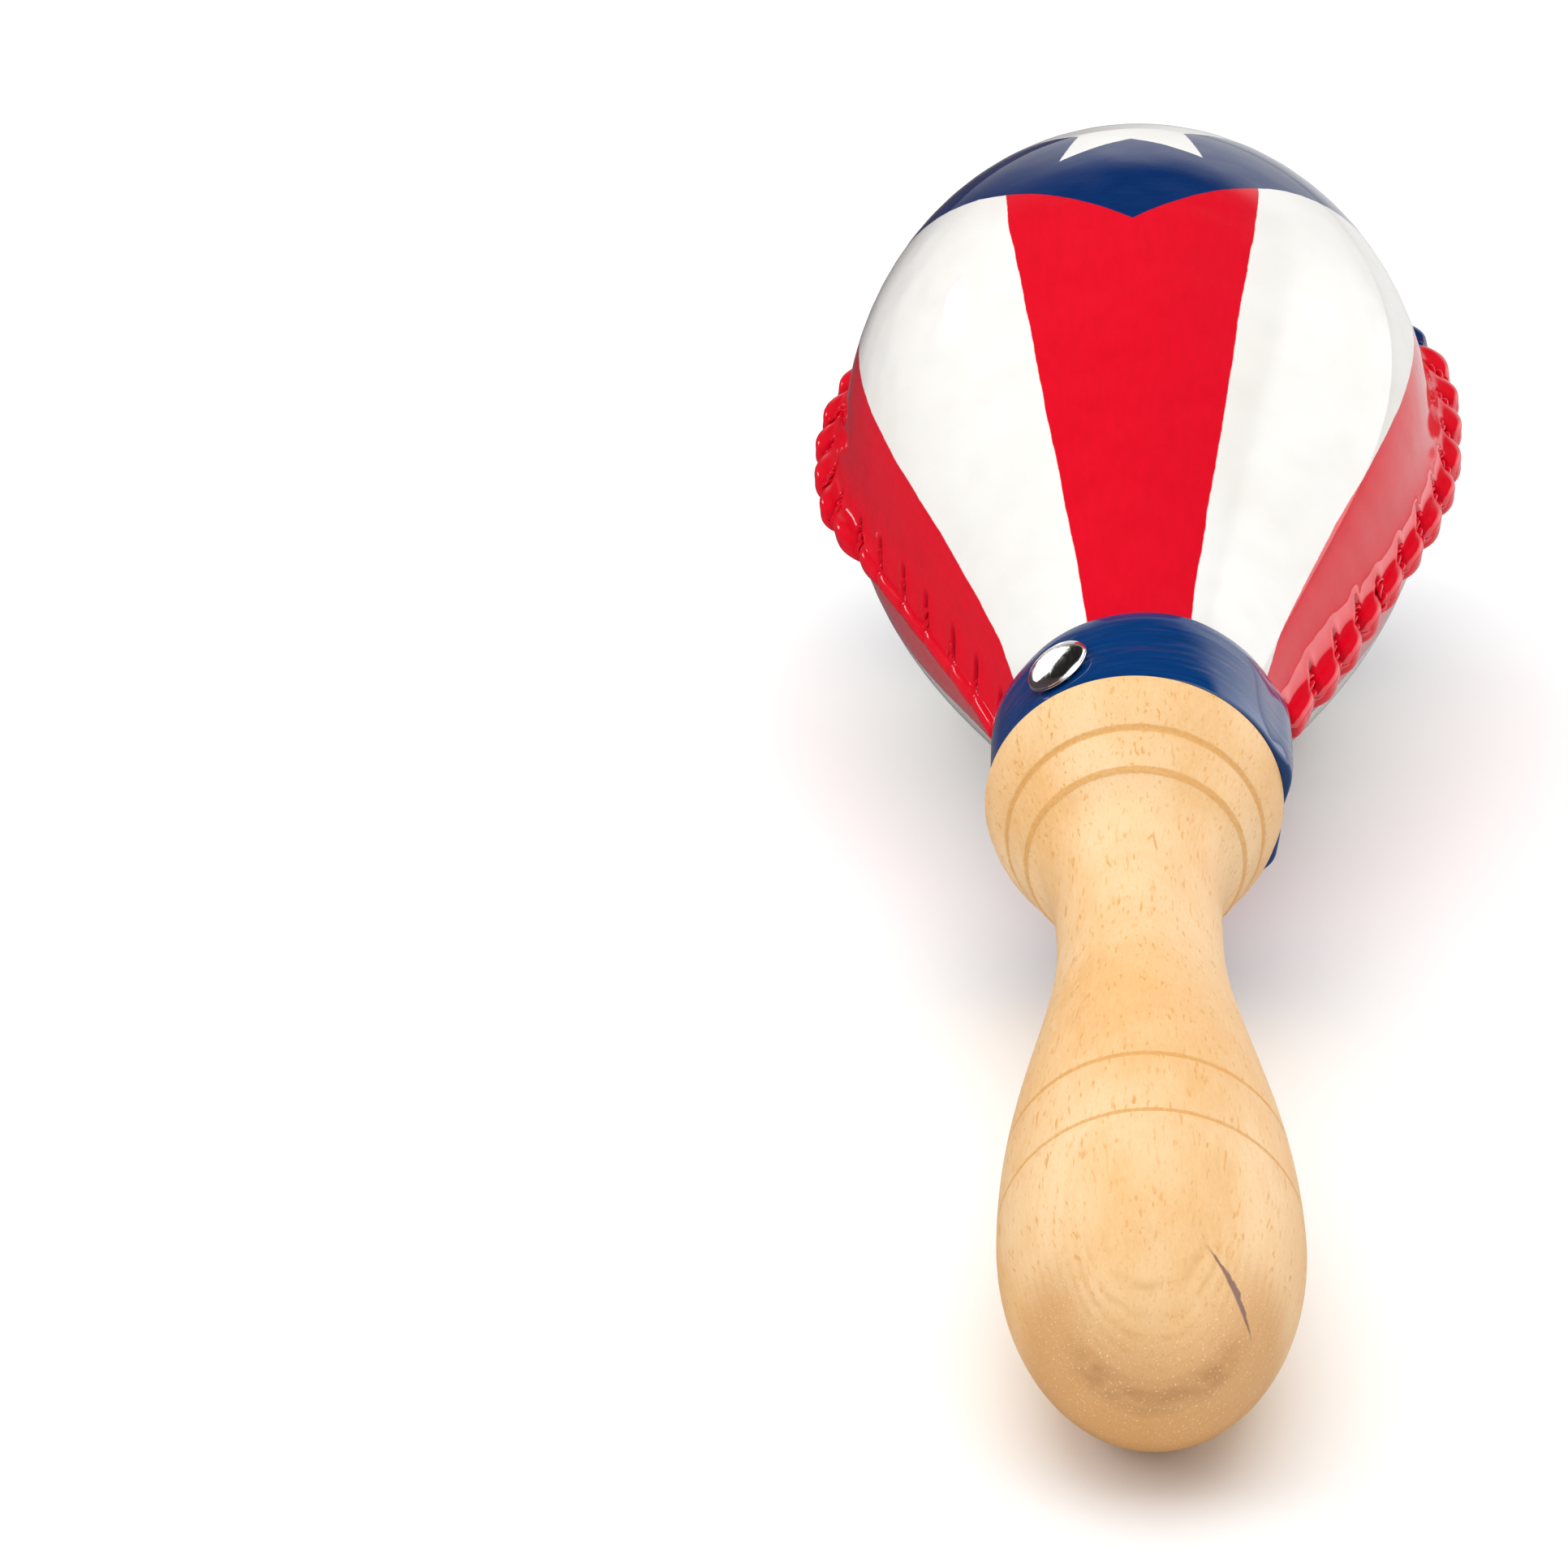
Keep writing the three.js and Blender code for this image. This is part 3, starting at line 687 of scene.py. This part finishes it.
def flare_start(run):
    """Arc length from the seam to where the skin begins to sweep outwards."""
    point, _ = dome(run, 0.0)
    top = np.where(point[..., 1] > BELLY_STATION, BELLY_RADIUS, point[..., 0])
    return np.clip(0.30 * top, 4.8, 8.2), top


def rim_base(side, run, step):
    """The lip without its stitching: step 0 to 1 sweeps out, and 1 to 2 rounds the edge to the seam."""
    start, top = flare_start(run)
    from_point, travel = dome(run, start / top)
    x, y, nx, ny = along_outline(run)
    zero = np.zeros_like(x)
    seam = np.stack([x, y, zero], -1)
    normal = np.stack([nx, ny, zero], -1)
    up = np.array((0.0, 0.0, 1.0))
    reach = lip_reach(side, run)
    tip = seam + normal * (reach - EDGE_ROUND)[..., None] + up * LIP_HALF_THICKNESS
    first = from_point + travel * (0.52 * start)[..., None]
    second = tip - normal * (0.50 * reach)[..., None]
    slack = (1 - fullness(side, run))[..., None]
    first = first + slack * (from_point + travel * (0.36 * start)[..., None] - first)
    second = second + slack * (tip + 0.34 * (from_point - tip) - second)
    u = np.clip(step, 0, 1)[..., None]
    swept = (1 - u) ** 3 * from_point + 3 * (1 - u) ** 2 * u * first
    swept = swept + 3 * (1 - u) * u * u * second + u**3 * tip
    turn = np.clip(step - 1, 0, 1)[..., None] * math.pi / 2
    fall = (LIP_HALF_THICKNESS - PARTING) * (1 - np.cos(turn))
    rounded = tip + normal * (EDGE_ROUND * np.sin(turn)) - up * fall
    lip = np.where(step[..., None] <= 1, swept, rounded)
    plain_angle = start / top * np.clip(1 - step / 2, 0, 1)
    plain, _ = dome(run, plain_angle)
    plain[..., 2] = np.maximum(plain[..., 2], PARTING)
    amount = lip_amount(run)[..., None]
    to_edge = np.where(step <= 1, EDGE_ROUND * 1.35 + (1 - step) * 0.9 * (start + reach - EDGE_ROUND),
                       EDGE_ROUND * 1.35 * (2 - step))
    return plain + (lip - plain) * amount, normal, to_edge, amount[..., 0]


def stitch_slant(layer):
    """How fast the notches run towards the handle as they come out to the edge."""
    return NOTCH_SLANT if layer > 0 else -(PITCH - NOTCH_SLANT * STITCH_REACH) / STITCH_REACH


def rim_surface(side, run, step, layer):
    """The stitched lip on one side and layer, with how deep in a crease each point is."""
    base, normal, to_edge, amount = rim_base(side, run, step)
    ahead, *_ = rim_base(side, run, np.minimum(step + 0.02, 2.0))
    behind, *_ = rim_base(side, run, np.maximum(step - 0.02, 0.0))
    out = ahead - behind
    out /= np.linalg.norm(out, axis=-1, keepdims=True)
    seamwise = np.stack([-normal[..., 1], normal[..., 0], np.zeros_like(run)], -1)
    skin = np.cross(out, seamwise)
    skin /= np.linalg.norm(skin, axis=-1, keepdims=True)
    slant = stitch_slant(layer)
    phase = (run - LIP_RUN - slant * to_edge) / PITCH
    phase = phase + 0.06 * lobe_noise(0, side, phase)
    beside = phase - np.floor(phase)
    lobe = np.sin(math.pi * (1 - beside).clip(0, 1) ** 1.25).clip(0, 1) ** 0.55
    level = fullness(side, run)
    full = level * (1 + 0.16 * lobe_noise(1, side, phase))
    reach = STITCH_REACH + 0.7 * lobe_noise(2, side, phase)
    near_edge = smooth(STITCH_REACH + 0.5, 0.3, to_edge) * amount
    dip = NOTCH_DEPTH * full * (1 - lobe) * near_edge**1.3
    pillow = PILLOW * full * (lobe - 0.30) * smooth(reach, 1.6, to_edge) * amount
    off_notch = np.minimum(beside, 1 - beside) * PITCH / math.hypot(1, slant)
    width = 0.30 + 0.34 * smooth(reach, 0.5, to_edge)
    in_groove = bell(off_notch, width) * smooth(reach + 0.6, reach - 0.8, to_edge) * amount
    slit = bell(off_notch, SLIT_WIDTH) * smooth(reach + 1.2, reach + 0.3, to_edge)
    slit = slit * smooth(reach - 2.8, reach - 1.4, to_edge) * amount
    calm = 1 - 0.75 * smooth(218, 238, base[..., 1])
    slit = slit * calm
    off_edge = smooth(1.5, 3.5, to_edge) * amount
    swell = calm * bell(off_notch, SWELL_WIDTH) * smooth(reach + 2.6, reach + 0.6, to_edge) * off_edge
    deep = 0.16 + 0.84 * level
    flat = amount * (1 - level)
    pucker = bell(off_notch, PUCKER_WIDTH) * smooth(7.2, 5.6, to_edge) * smooth(1.6, 3.0, to_edge) * flat
    ridge = bell(off_notch, RIDGE_WIDTH) * smooth(8.0, 5.8, to_edge) * smooth(0.8, 2.4, to_edge) * flat
    uneven = lobe_noise(1, side, phase + 0.5)
    groove = CREASE_DEPTH * in_groove * deep + SLIT_DEPTH * slit * (0.65 + 0.35 * uneven)
    quiet = smooth(0.0, 0.5, 2 - step)
    groove = groove + PUCKER_DEPTH * pucker * (0.7 + 0.3 * uneven)
    height = (pillow + SWELL_HEIGHT * swell + RIDGE_HEIGHT * ridge - groove) * (0.35 + 0.65 * quiet)
    point = base - normal * dip[..., None] + skin * height[..., None]
    point[..., 2] = np.maximum(point[..., 2], PARTING)
    crease = np.clip(in_groove * 0.8 * deep + slit * level + pucker, 0, 1)
    point[..., 0] *= side
    point[..., 2] *= layer
    return point, crease


ROWS = 576
COARSE = 4
DOME_STEPS = 20
RIM_STEPS = np.concatenate([np.linspace(0, 1, 20), np.linspace(1, 2, 9)[1:]])
INNER_STEPS = 14


def fan(fine, coarse, ratio):
    """Triangles, not yet wound, that join a finely stepped row of vertices to a coarse one."""
    faces = []
    for c in range(len(coarse) - 1):
        part = fine[c * ratio:(c + 1) * ratio + 1]
        middle = ratio // 2
        faces += [[part[k], part[k + 1], coarse[c]] for k in range(middle)]
        faces.append([part[middle], coarse[c + 1], coarse[c]])
        faces += [[part[k], part[k + 1], coarse[c + 1]] for k in range(middle, ratio)]
    return faces


def half_shell(name, node, layer, material):
    """One painted half of the head, wall and all."""
    right = np.linspace(0, HALF_RUN, ROWS + 1)
    run = np.r_[right, right[-2::-1]]
    side = np.r_[np.ones(ROWS + 1), -np.ones(ROWS)]
    points, crease = [], []

    def add(block, depth=None):
        """Adds a block of rows by columns, and returns its vertex numbers."""
        start = len(points)
        flat = block.reshape(-1, 3)
        points.extend(flat)
        crease.extend(np.zeros(len(flat)) if depth is None else depth.ravel())
        return np.arange(start, start + len(flat)).reshape(block.shape[:2])

    runs, steps = np.meshgrid(run, RIM_STEPS, indexing="ij")
    pieces = [rim_surface(s, runs[side == s], steps[side == s], layer) for s in (1, -1)]
    rim = add(np.concatenate([p for p, _ in pieces]), np.concatenate([c for _, c in pieces]))
    few, few_side = run[::COARSE], side[::COARSE]
    start, top = flare_start(few)
    share = np.linspace(0, 1, DOME_STEPS + 1)[1:]
    angle = (start / top)[:, None] + (math.pi / 2 - start / top)[:, None] * share[None, :]
    skin, _ = dome(np.repeat(few[:, None], DOME_STEPS, 1), angle)
    skin[..., 0] *= few_side[:, None]
    skin[..., 2] *= layer
    outer = add(skin)
    inner_angle = np.linspace(0, 1, INNER_STEPS + 1)[None, :] * math.pi / 2
    lining, _ = dome(np.repeat(few[:, None], INNER_STEPS + 1, 1), np.repeat(inner_angle, len(few), 0), WALL)
    lining[..., 0] *= few_side[:, None]
    lining[..., 2] = np.maximum(lining[..., 2], PARTING) * layer
    inner = add(lining)
    for grid in (outer, inner):
        weld_ridge(grid, few)
    body = quads(rim) + quads(outer) + quads(inner)
    joins = fan(rim[:, 0], outer[:, 0], COARSE) + fan(rim[:, -1], inner[:, 0], COARSE)
    body += [face for face in map(tidy_face, joins) if face]
    body.append([*rim[0, ::-1], *outer[0], *outer[-1][-2::-1], *rim[-1], *inner[-1], *inner[0][-2::-1]])
    piece = make_piece(name, points, body, material, stands_for=[node], sharp=65)
    add_attribute(piece, "crease", crease)


def weld_ridge(grid, few):
    """Joins the two sides along the middle line, and all of the crown's rows at the belly's top."""
    count = len(few)
    stations = np.interp(few, OUTLINE_RUN, OUTLINE[:, 1])
    first_on_crown = int(np.argmax(stations >= BELLY_STATION))
    for i in range(count):
        low = min(i, count - 1 - i)
        grid[i, -1] = grid[min(low, first_on_crown), -1]


# --- thread -----------------------------------------------------------------------------

STRAND_RADIUS = 0.36
CORD_RADIUS = 0.34
STRAND_SIDES = 8
TWIST_LENGTH = 3.4
CORD_SPACING = 0.32
LIP_MIDDLE = 1.6


def stitch_path(side):
    """The sewing cord's middle line on one side: through each hole, over the lip and back beneath it."""
    path, lift = [], []
    over = np.r_[np.linspace(0.55, 1, 12), np.linspace(1, 2, 7)[1:]]
    for lobe in range(LOBES, 0, -1):
        for layer, steps in ((1, over), (-1, over[::-1][1:])):
            _, _, to_edge, _ = rim_base(side, np.full(len(steps), LIP_RUN + lobe * PITCH), steps)
            reach = np.minimum(to_edge, STITCH_REACH)
            run = LIP_RUN + lobe * PITCH + stitch_slant(layer) * reach
            run = np.clip(run, LIP_RUN - 1, HALF_RUN)
            point, _ = rim_surface(side, run, steps, layer)
            path.append(point)
            sink = smooth(STITCH_REACH - 0.2, STITCH_REACH - 1.6, to_edge)
            sunk = 1.2 * (1 - fullness(side, run))
            lift.append(-0.9 + (1.05 - sunk) * sink)
    return np.concatenate(path), np.concatenate(lift)


def smooth_line(points, spacing):
    """The same line with evenly spaced, softened points."""
    run = np.r_[0, np.cumsum(np.linalg.norm(np.diff(points, axis=0), axis=1))]
    at = np.arange(0, run[-1], spacing)
    line = np.stack([np.interp(at, run, points[:, k]) for k in range(points.shape[1])], 1)
    for _ in range(3):
        line[1:-1] = 0.25 * line[:-2] + 0.5 * line[1:-1] + 0.25 * line[2:]
    return line


def lifted(points, lift):
    """Moves the cord's middle line off the skin, away from the middle of the lip."""
    x, y = np.abs(points[:, 0]), points[:, 1]
    side = np.sign(points[:, 0] + 1e-9)
    flat = np.zeros(len(points))
    gaps = (OUTLINE[None, :, 0] - x[:, None]) ** 2 + (OUTLINE[None, :, 1] - y[:, None]) ** 2
    nearest = np.argmin(gaps, axis=1)
    base = np.c_[OUTLINE[nearest, 0] * side, OUTLINE[nearest, 1], flat]
    _, _, nx, ny = along_outline(OUTLINE_RUN[nearest])
    middle = base + np.c_[nx * side, ny, flat] * LIP_MIDDLE
    away = points - middle
    away /= np.linalg.norm(away, axis=1, keepdims=True)
    return points + away * lift[:, None]


def tube(line, radius, sides):
    """Points and faces of a round tube along a line, closed at both ends."""
    travel = np.gradient(line, axis=0)
    travel /= np.linalg.norm(travel, axis=1, keepdims=True)
    square = np.cross(travel[0], (0.3, 0.2, 1.0))
    points, grid = [], np.zeros((len(line), sides + 1), int)
    for i, (at, way) in enumerate(zip(line, travel)):
        square = square - way * square.dot(way)
        square /= np.linalg.norm(square)
        other = np.cross(way, square)
        grid[i, :sides] = np.arange(sides) + i * sides
        grid[i, sides] = i * sides
        for k in range(sides):
            a = 2 * math.pi * k / sides
            points.append(at + radius * (math.cos(a) * square + math.sin(a) * other))
    return np.array(points), [*quads(grid), list(grid[0, :sides]), list(grid[-1, :sides])]


def strands(line):
    """Two lines twisted round each other along a middle line."""
    travel = np.gradient(line, axis=0)
    travel /= np.linalg.norm(travel, axis=1, keepdims=True)
    run = np.r_[0, np.cumsum(np.linalg.norm(np.diff(line, axis=0), axis=1))]
    square, made = np.cross(travel[0], (0.3, 0.2, 1.0)), [[], []]
    for at, way, s in zip(line, travel, run):
        square = square - way * square.dot(way)
        square /= np.linalg.norm(square)
        other = np.cross(way, square)
        turn = 2 * math.pi * s / TWIST_LENGTH
        arm = math.cos(turn) * square + math.sin(turn) * other
        made[0].append(at + CORD_RADIUS * arm)
        made[1].append(at - CORD_RADIUS * arm)
    return [np.array(m) for m in made]


def build_thread(material):
    points, faces = [], []
    for side in (1, -1):
        path, lift = stitch_path(side)
        line = smooth_line(lifted(path, lift), CORD_SPACING)
        for strand in strands(line):
            strand_points, strand_faces = tube(strand, STRAND_RADIUS, STRAND_SIDES)
            faces += [[v + len(points) for v in f] for f in strand_faces]
            points.extend(strand_points)
    make_piece("sewing_cord", points, faces, material, stands_for=["seam_thread"],
               sharp=80)


# --- collar -----------------------------------------------------------------------------


def strap_section(half, thick):
    """The strap's rounded section, as (across, out) pairs going round once."""
    section = []
    near, far = half - STRAP_CORNER, thick - STRAP_CORNER
    flat = np.linspace(-1, 1, 9)[1:-1] * near
    corners = ((near, far, 0), (-near, far, 90), (-near, STRAP_CORNER, 180), (near, STRAP_CORNER, 270))
    for cx, cy, start in corners:
        for k in range(CORNER_STEPS):
            a = math.radians(start + 18 * k)
            section.append((cx + STRAP_CORNER * math.cos(a), cy + STRAP_CORNER * math.sin(a)))
        if start == 0:
            section.extend((v, thick) for v in flat[::-1])
        if start == 180:
            section.extend((v, 0.0) for v in flat)
    return np.array(section)


def build_strap(material):
    """The blue strap, wound once round the neck and lapped."""
    length = 360 + LAP_TO - LAP_FROM
    wound = np.linspace(0, length, STRAP_STEPS + 1)
    inner = STRAP_RADIUS + STRAP_LIFT * smooth(360 - LAP_RISE, 360, wound)
    half, thick = STRAP_WIDTH / 2, STRAP_THICKNESS
    section = strap_section(half, thick)
    edge = ripple(wound, 26, 3, length) * 0.16
    swell = ripple(wound, 17, 4, length) * 0.10
    for clock, wide, proud in STRAP_SWELLS:
        off = (LAP_FROM + wound - clock + 180) % 360 - 180
        swell += proud * bell(off, wide)
    fade = smooth(0, 5, wound) * smooth(length, length - 5, wound)
    points, grid = [], np.zeros((STRAP_STEPS + 1, len(section) + 1), int)
    for i, w in enumerate(wound):
        clock = math.radians(LAP_FROM + w)
        grid[i, :-1] = np.arange(len(section)) + len(points)
        grid[i, -1] = len(points)
        for across, out in section:
            lean = 1 - 0.22 * (across / half) ** 4 if out > thick / 2 else 1.0
            rise = out * lean * (0.75 + 0.25 * fade[i]) + (swell[i] if out > thick / 2 else 0)
            radius = inner[i] + rise - dent(LAP_FROM + w, across)
            station = STRAP_START + half + across * (1 - 0.012 * (1 - fade[i])) + edge[i]
            points.append((radius * math.sin(clock), station, radius * math.cos(clock)))
    faces = [*quads(grid), list(grid[0, :-1]), list(grid[-1, :-1])]
    make_piece("wound_collar_strap", points, faces, material, stands_for=["collar_strap"],
               sharp=70)


def dent(clock, across):
    """Where the tacks press the strap in."""
    deep = 0.0
    for _, angle, seat in TACKS:
        off = math.radians((clock - angle + 180) % 360 - 180) * seat
        away = math.hypot(off, across + STRAP_START + STRAP_WIDTH / 2 - TACK_STATION)
        deep += 0.30 * math.exp(-((away / 4.6) ** 4))
    return deep


def build_tack(name, clock, seat, material):
    """A pressed dome with a rolled rim, and its pin."""
    turn = np.linspace(0, math.pi / 2, 18)
    dome_line = [(TACK_RADIUS * math.cos(a) ** 0.92 * 0.985, 0.22 + (TACK_HEIGHT - 0.22) * math.sin(a))
                 for a in turn]
    rim = [(TACK_RADIUS * 0.97, -0.12), (TACK_RADIUS, -0.02), (TACK_RADIUS * 1.002, 0.08),
           (TACK_RADIUS * 0.995, 0.17)]
    profile = [(0, -11), (0.8, -8.5), (0.8, -0.2), (TACK_RADIUS * 0.9, -0.2), *rim, *dome_line]
    profile[-1] = (0, TACK_HEIGHT)
    points, faces = lathe(profile, 72)
    a = math.radians(clock)
    spin = np.array(((math.cos(a), 0, math.sin(a)), (0, 1, 0), (-math.sin(a), 0, math.cos(a))))
    upright = np.c_[points[:, 0], -points[:, 2], points[:, 1]]
    placed = upright @ spin.T + np.array((seat * math.sin(a), TACK_STATION, seat * math.cos(a)))
    return make_piece(f"domed_tack_{name}", placed, faces, material, stands_for=[f"tack_{name}"],
                      sharp=60)


# --- seeds ------------------------------------------------------------------------------


def build_seed(number, material):
    """A slightly flattened, dimpled seed in the middle of its pellet's place."""
    node = f"pellet_{number:02d}"
    low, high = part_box(node)
    middle = np.array((low + high) / 2)
    draw = np.random.default_rng(100 + number)
    across, down = 28, 18
    squash = draw.uniform(0.86, 0.97, 3)
    points, grid = [], np.zeros((down + 1, across + 1), int)
    wave = draw.uniform(0, 2 * math.pi, 4)
    for i in range(down + 1):
        tilt = math.pi * i / down
        grid[i, :] = len(points)
        if 0 < i < down:
            grid[i, :across] = np.arange(across) + len(points)
        for k in range(across if 0 < i < down else 1):
            turn = 2 * math.pi * k / across
            way = np.array((math.sin(tilt) * math.cos(turn), math.sin(tilt) * math.sin(turn), math.cos(tilt)))
            bumps = 0.05 * math.sin(3 * turn + wave[0]) * math.sin(2 * tilt + wave[1])
            bumps += 0.03 * math.sin(5 * tilt + wave[2])
            points.append(way * squash * PELLET_RADIUS * (0.95 + bumps * math.sin(tilt)))
    local_middle = (middle / MM - PLACE) @ TURN
    make_piece(f"seed_{number:02d}", np.array(points) + local_middle, quads(grid), material, body=node,
               stands_for=[node], sharp=80)


# --- studio -----------------------------------------------------------------------------

CAMERA_PLACE = Vector((-15.589, -721.222, 353.313)) * MM
CAMERA_LOOK = Vector((-0.04042724, 0.90929312, -0.41418796))
CAMERA_LENS, SENSOR = 136.0, 36.0
FLOOR_REACH = 4.0
FLOOR_SHOWN = (0.93, 0.93, 0.925)
FLOOR_LEFT, FLOOR_RIGHT = (0.05, 0.035, 0.045), (0.62, 0.62, 0.62)
SKY_LEFT, SKY_MIDDLE, SKY_KEY = (0.10, 0.07, 0.08), (1.0, 1.0, 1.0), (3.4, 3.4, 3.4)
SKY_SHOWN, SKY_ABOVE, SKY_STRENGTH = (1.0, 1.0, 1.0), (0.02, 0.02, 0.02), 0.66


def build_camera():
    data = bpy.data.cameras.new("camera")
    data.lens, data.sensor_width = CAMERA_LENS, SENSOR
    data.clip_start, data.clip_end = 0.01, 20
    camera = bpy.data.objects.new("camera", data)
    camera.location = CAMERA_PLACE
    camera.rotation_mode = "QUATERNION"
    camera.rotation_quaternion = CAMERA_LOOK.to_track_quat("-Z", "Y")
    bpy.context.scene.collection.objects.link(camera)
    bpy.context.scene.camera = camera


def build_light(name, place, aim, size, watts, shape="RECTANGLE", mirrored=True):
    data = bpy.data.lights.new(name, "AREA")
    data.shape = shape
    data.size, data.size_y = size
    data.energy = watts
    lamp = bpy.data.objects.new(name, data)
    lamp.location = place
    lamp.rotation_mode = "QUATERNION"
    lamp.rotation_quaternion = (Vector(aim) - Vector(place)).to_track_quat("-Z", "Y")
    lamp.visible_glossy = mirrored
    bpy.context.scene.collection.objects.link(lamp)
    return lamp


def in_gloss(g, shown, mirrored):
    """One colour for the eye and for diffuse light, and another where a glossy surface mirrors it."""
    path = g.nodes.new("ShaderNodeLightPath")
    return g.mix(path.outputs["Is Glossy Ray"], shown, mirrored)


def floor_material():
    """Pale paper, which the lacquer mirrors dark on the left and pale on the right."""
    g = Graph(bpy.data.materials.new("pale_floor"))
    x = g.split(g.nodes.new("ShaderNodeTexCoord").outputs["Object"])[0]
    mirrored = g.mix(g.range(x, -0.10, 0.10, soft=True), FLOOR_LEFT, FLOOR_RIGHT)
    g.set(Base_Color=in_gloss(g, FLOOR_SHOWN, mirrored), Roughness=0.8, Specular_IOR_Level=0.1)
    return g.owner


def build_world():
    """Even light, seen in the lacquer only as a bright band above the horizon."""
    world = bpy.data.worlds.new("studio")
    g = Graph(world)
    x, y, z = g.split(g.nodes.new("ShaderNodeTexCoord").outputs["Generated"])
    right = g.range(x, 0.42, 0.80, soft=True)
    front = g.times(g.range(y, 0.15, -0.25, soft=True), g.range(x, -0.05, 0.30, soft=True))
    key = g.math("MAXIMUM", right, front)
    sideways = g.mix(g.range(x, -0.40, 0.02, soft=True), SKY_LEFT, SKY_MIDDLE)
    sideways = g.mix(key, sideways, SKY_KEY)
    top = g.plus(0.32, g.times(key, 0.36))
    band = g.mix(g.range(g.minus(z, top), 0.0, 0.22, soft=True), sideways, SKY_ABOVE)
    background = g.nodes["Background"]
    g.links.new(in_gloss(g, SKY_SHOWN, band), background.inputs["Color"])
    background.inputs["Strength"].default_value = SKY_STRENGTH
    bpy.context.scene.world = world


def build_studio():
    mesh = bpy.data.meshes.new("floor")
    corners = [(-FLOOR_REACH, -FLOOR_REACH, 0), (FLOOR_REACH, -FLOOR_REACH, 0),
               (FLOOR_REACH, FLOOR_REACH, 0), (-FLOOR_REACH, FLOOR_REACH, 0)]
    mesh.from_pydata(corners, [], [(0, 1, 2, 3)])
    mesh.materials.append(floor_material())
    floor = bpy.data.objects.new("floor", mesh)
    bpy.context.scene.collection.objects.link(floor)
    build_world()
    build_light("overhead", (0.0, 0.12, 1.3), (0, 0, 0), (1.6, 1.8), 15.0, mirrored=False)
    build_light("left_fill", (-1.1, -0.1, 0.75), (0, -0.05, 0.04), (0.9, 0.7), 3.4, mirrored=False)
    build_light("left_box", (-0.62, 0.62, 0.42), (0, 0.05, 0.04), (0.16, 0.12), 0.32, shape="ELLIPSE")
    view = bpy.context.scene.view_settings
    view.view_transform = "Standard"
    view.look = "None"


def light_tacks(tacks):
    """A soft box that only the polished tacks mirror, above and to the left."""
    lamp = build_light("tack_box", (-0.61, 0.61, 0.33), (0, -0.01, 0.04), (0.80, 0.56), 2.6)
    shown = bpy.data.collections.new("polished")
    for tack in tacks:
        shown.objects.link(tack)
    lamp.light_linking.receiver_collection = shown


build_camera()
build_studio()
build_handle(wood_material())
rawhide = paint_material("painted_rawhide")
half_shell("rawhide_upper", "upper_shell", 1, rawhide)
half_shell("rawhide_lower", "lower_shell", -1, rawhide)
build_thread(paint_material("painted_cord", crease=False, weave=True))
build_strap(strap_material())
nickel = nickel_material()
tacks = [build_tack(name, clock, seat, nickel) for name, clock, seat in TACKS]
light_tacks(tacks)
seed_look = seed_material()
for pellet in range(1, PELLETS + 1):
    build_seed(pellet, seed_look)
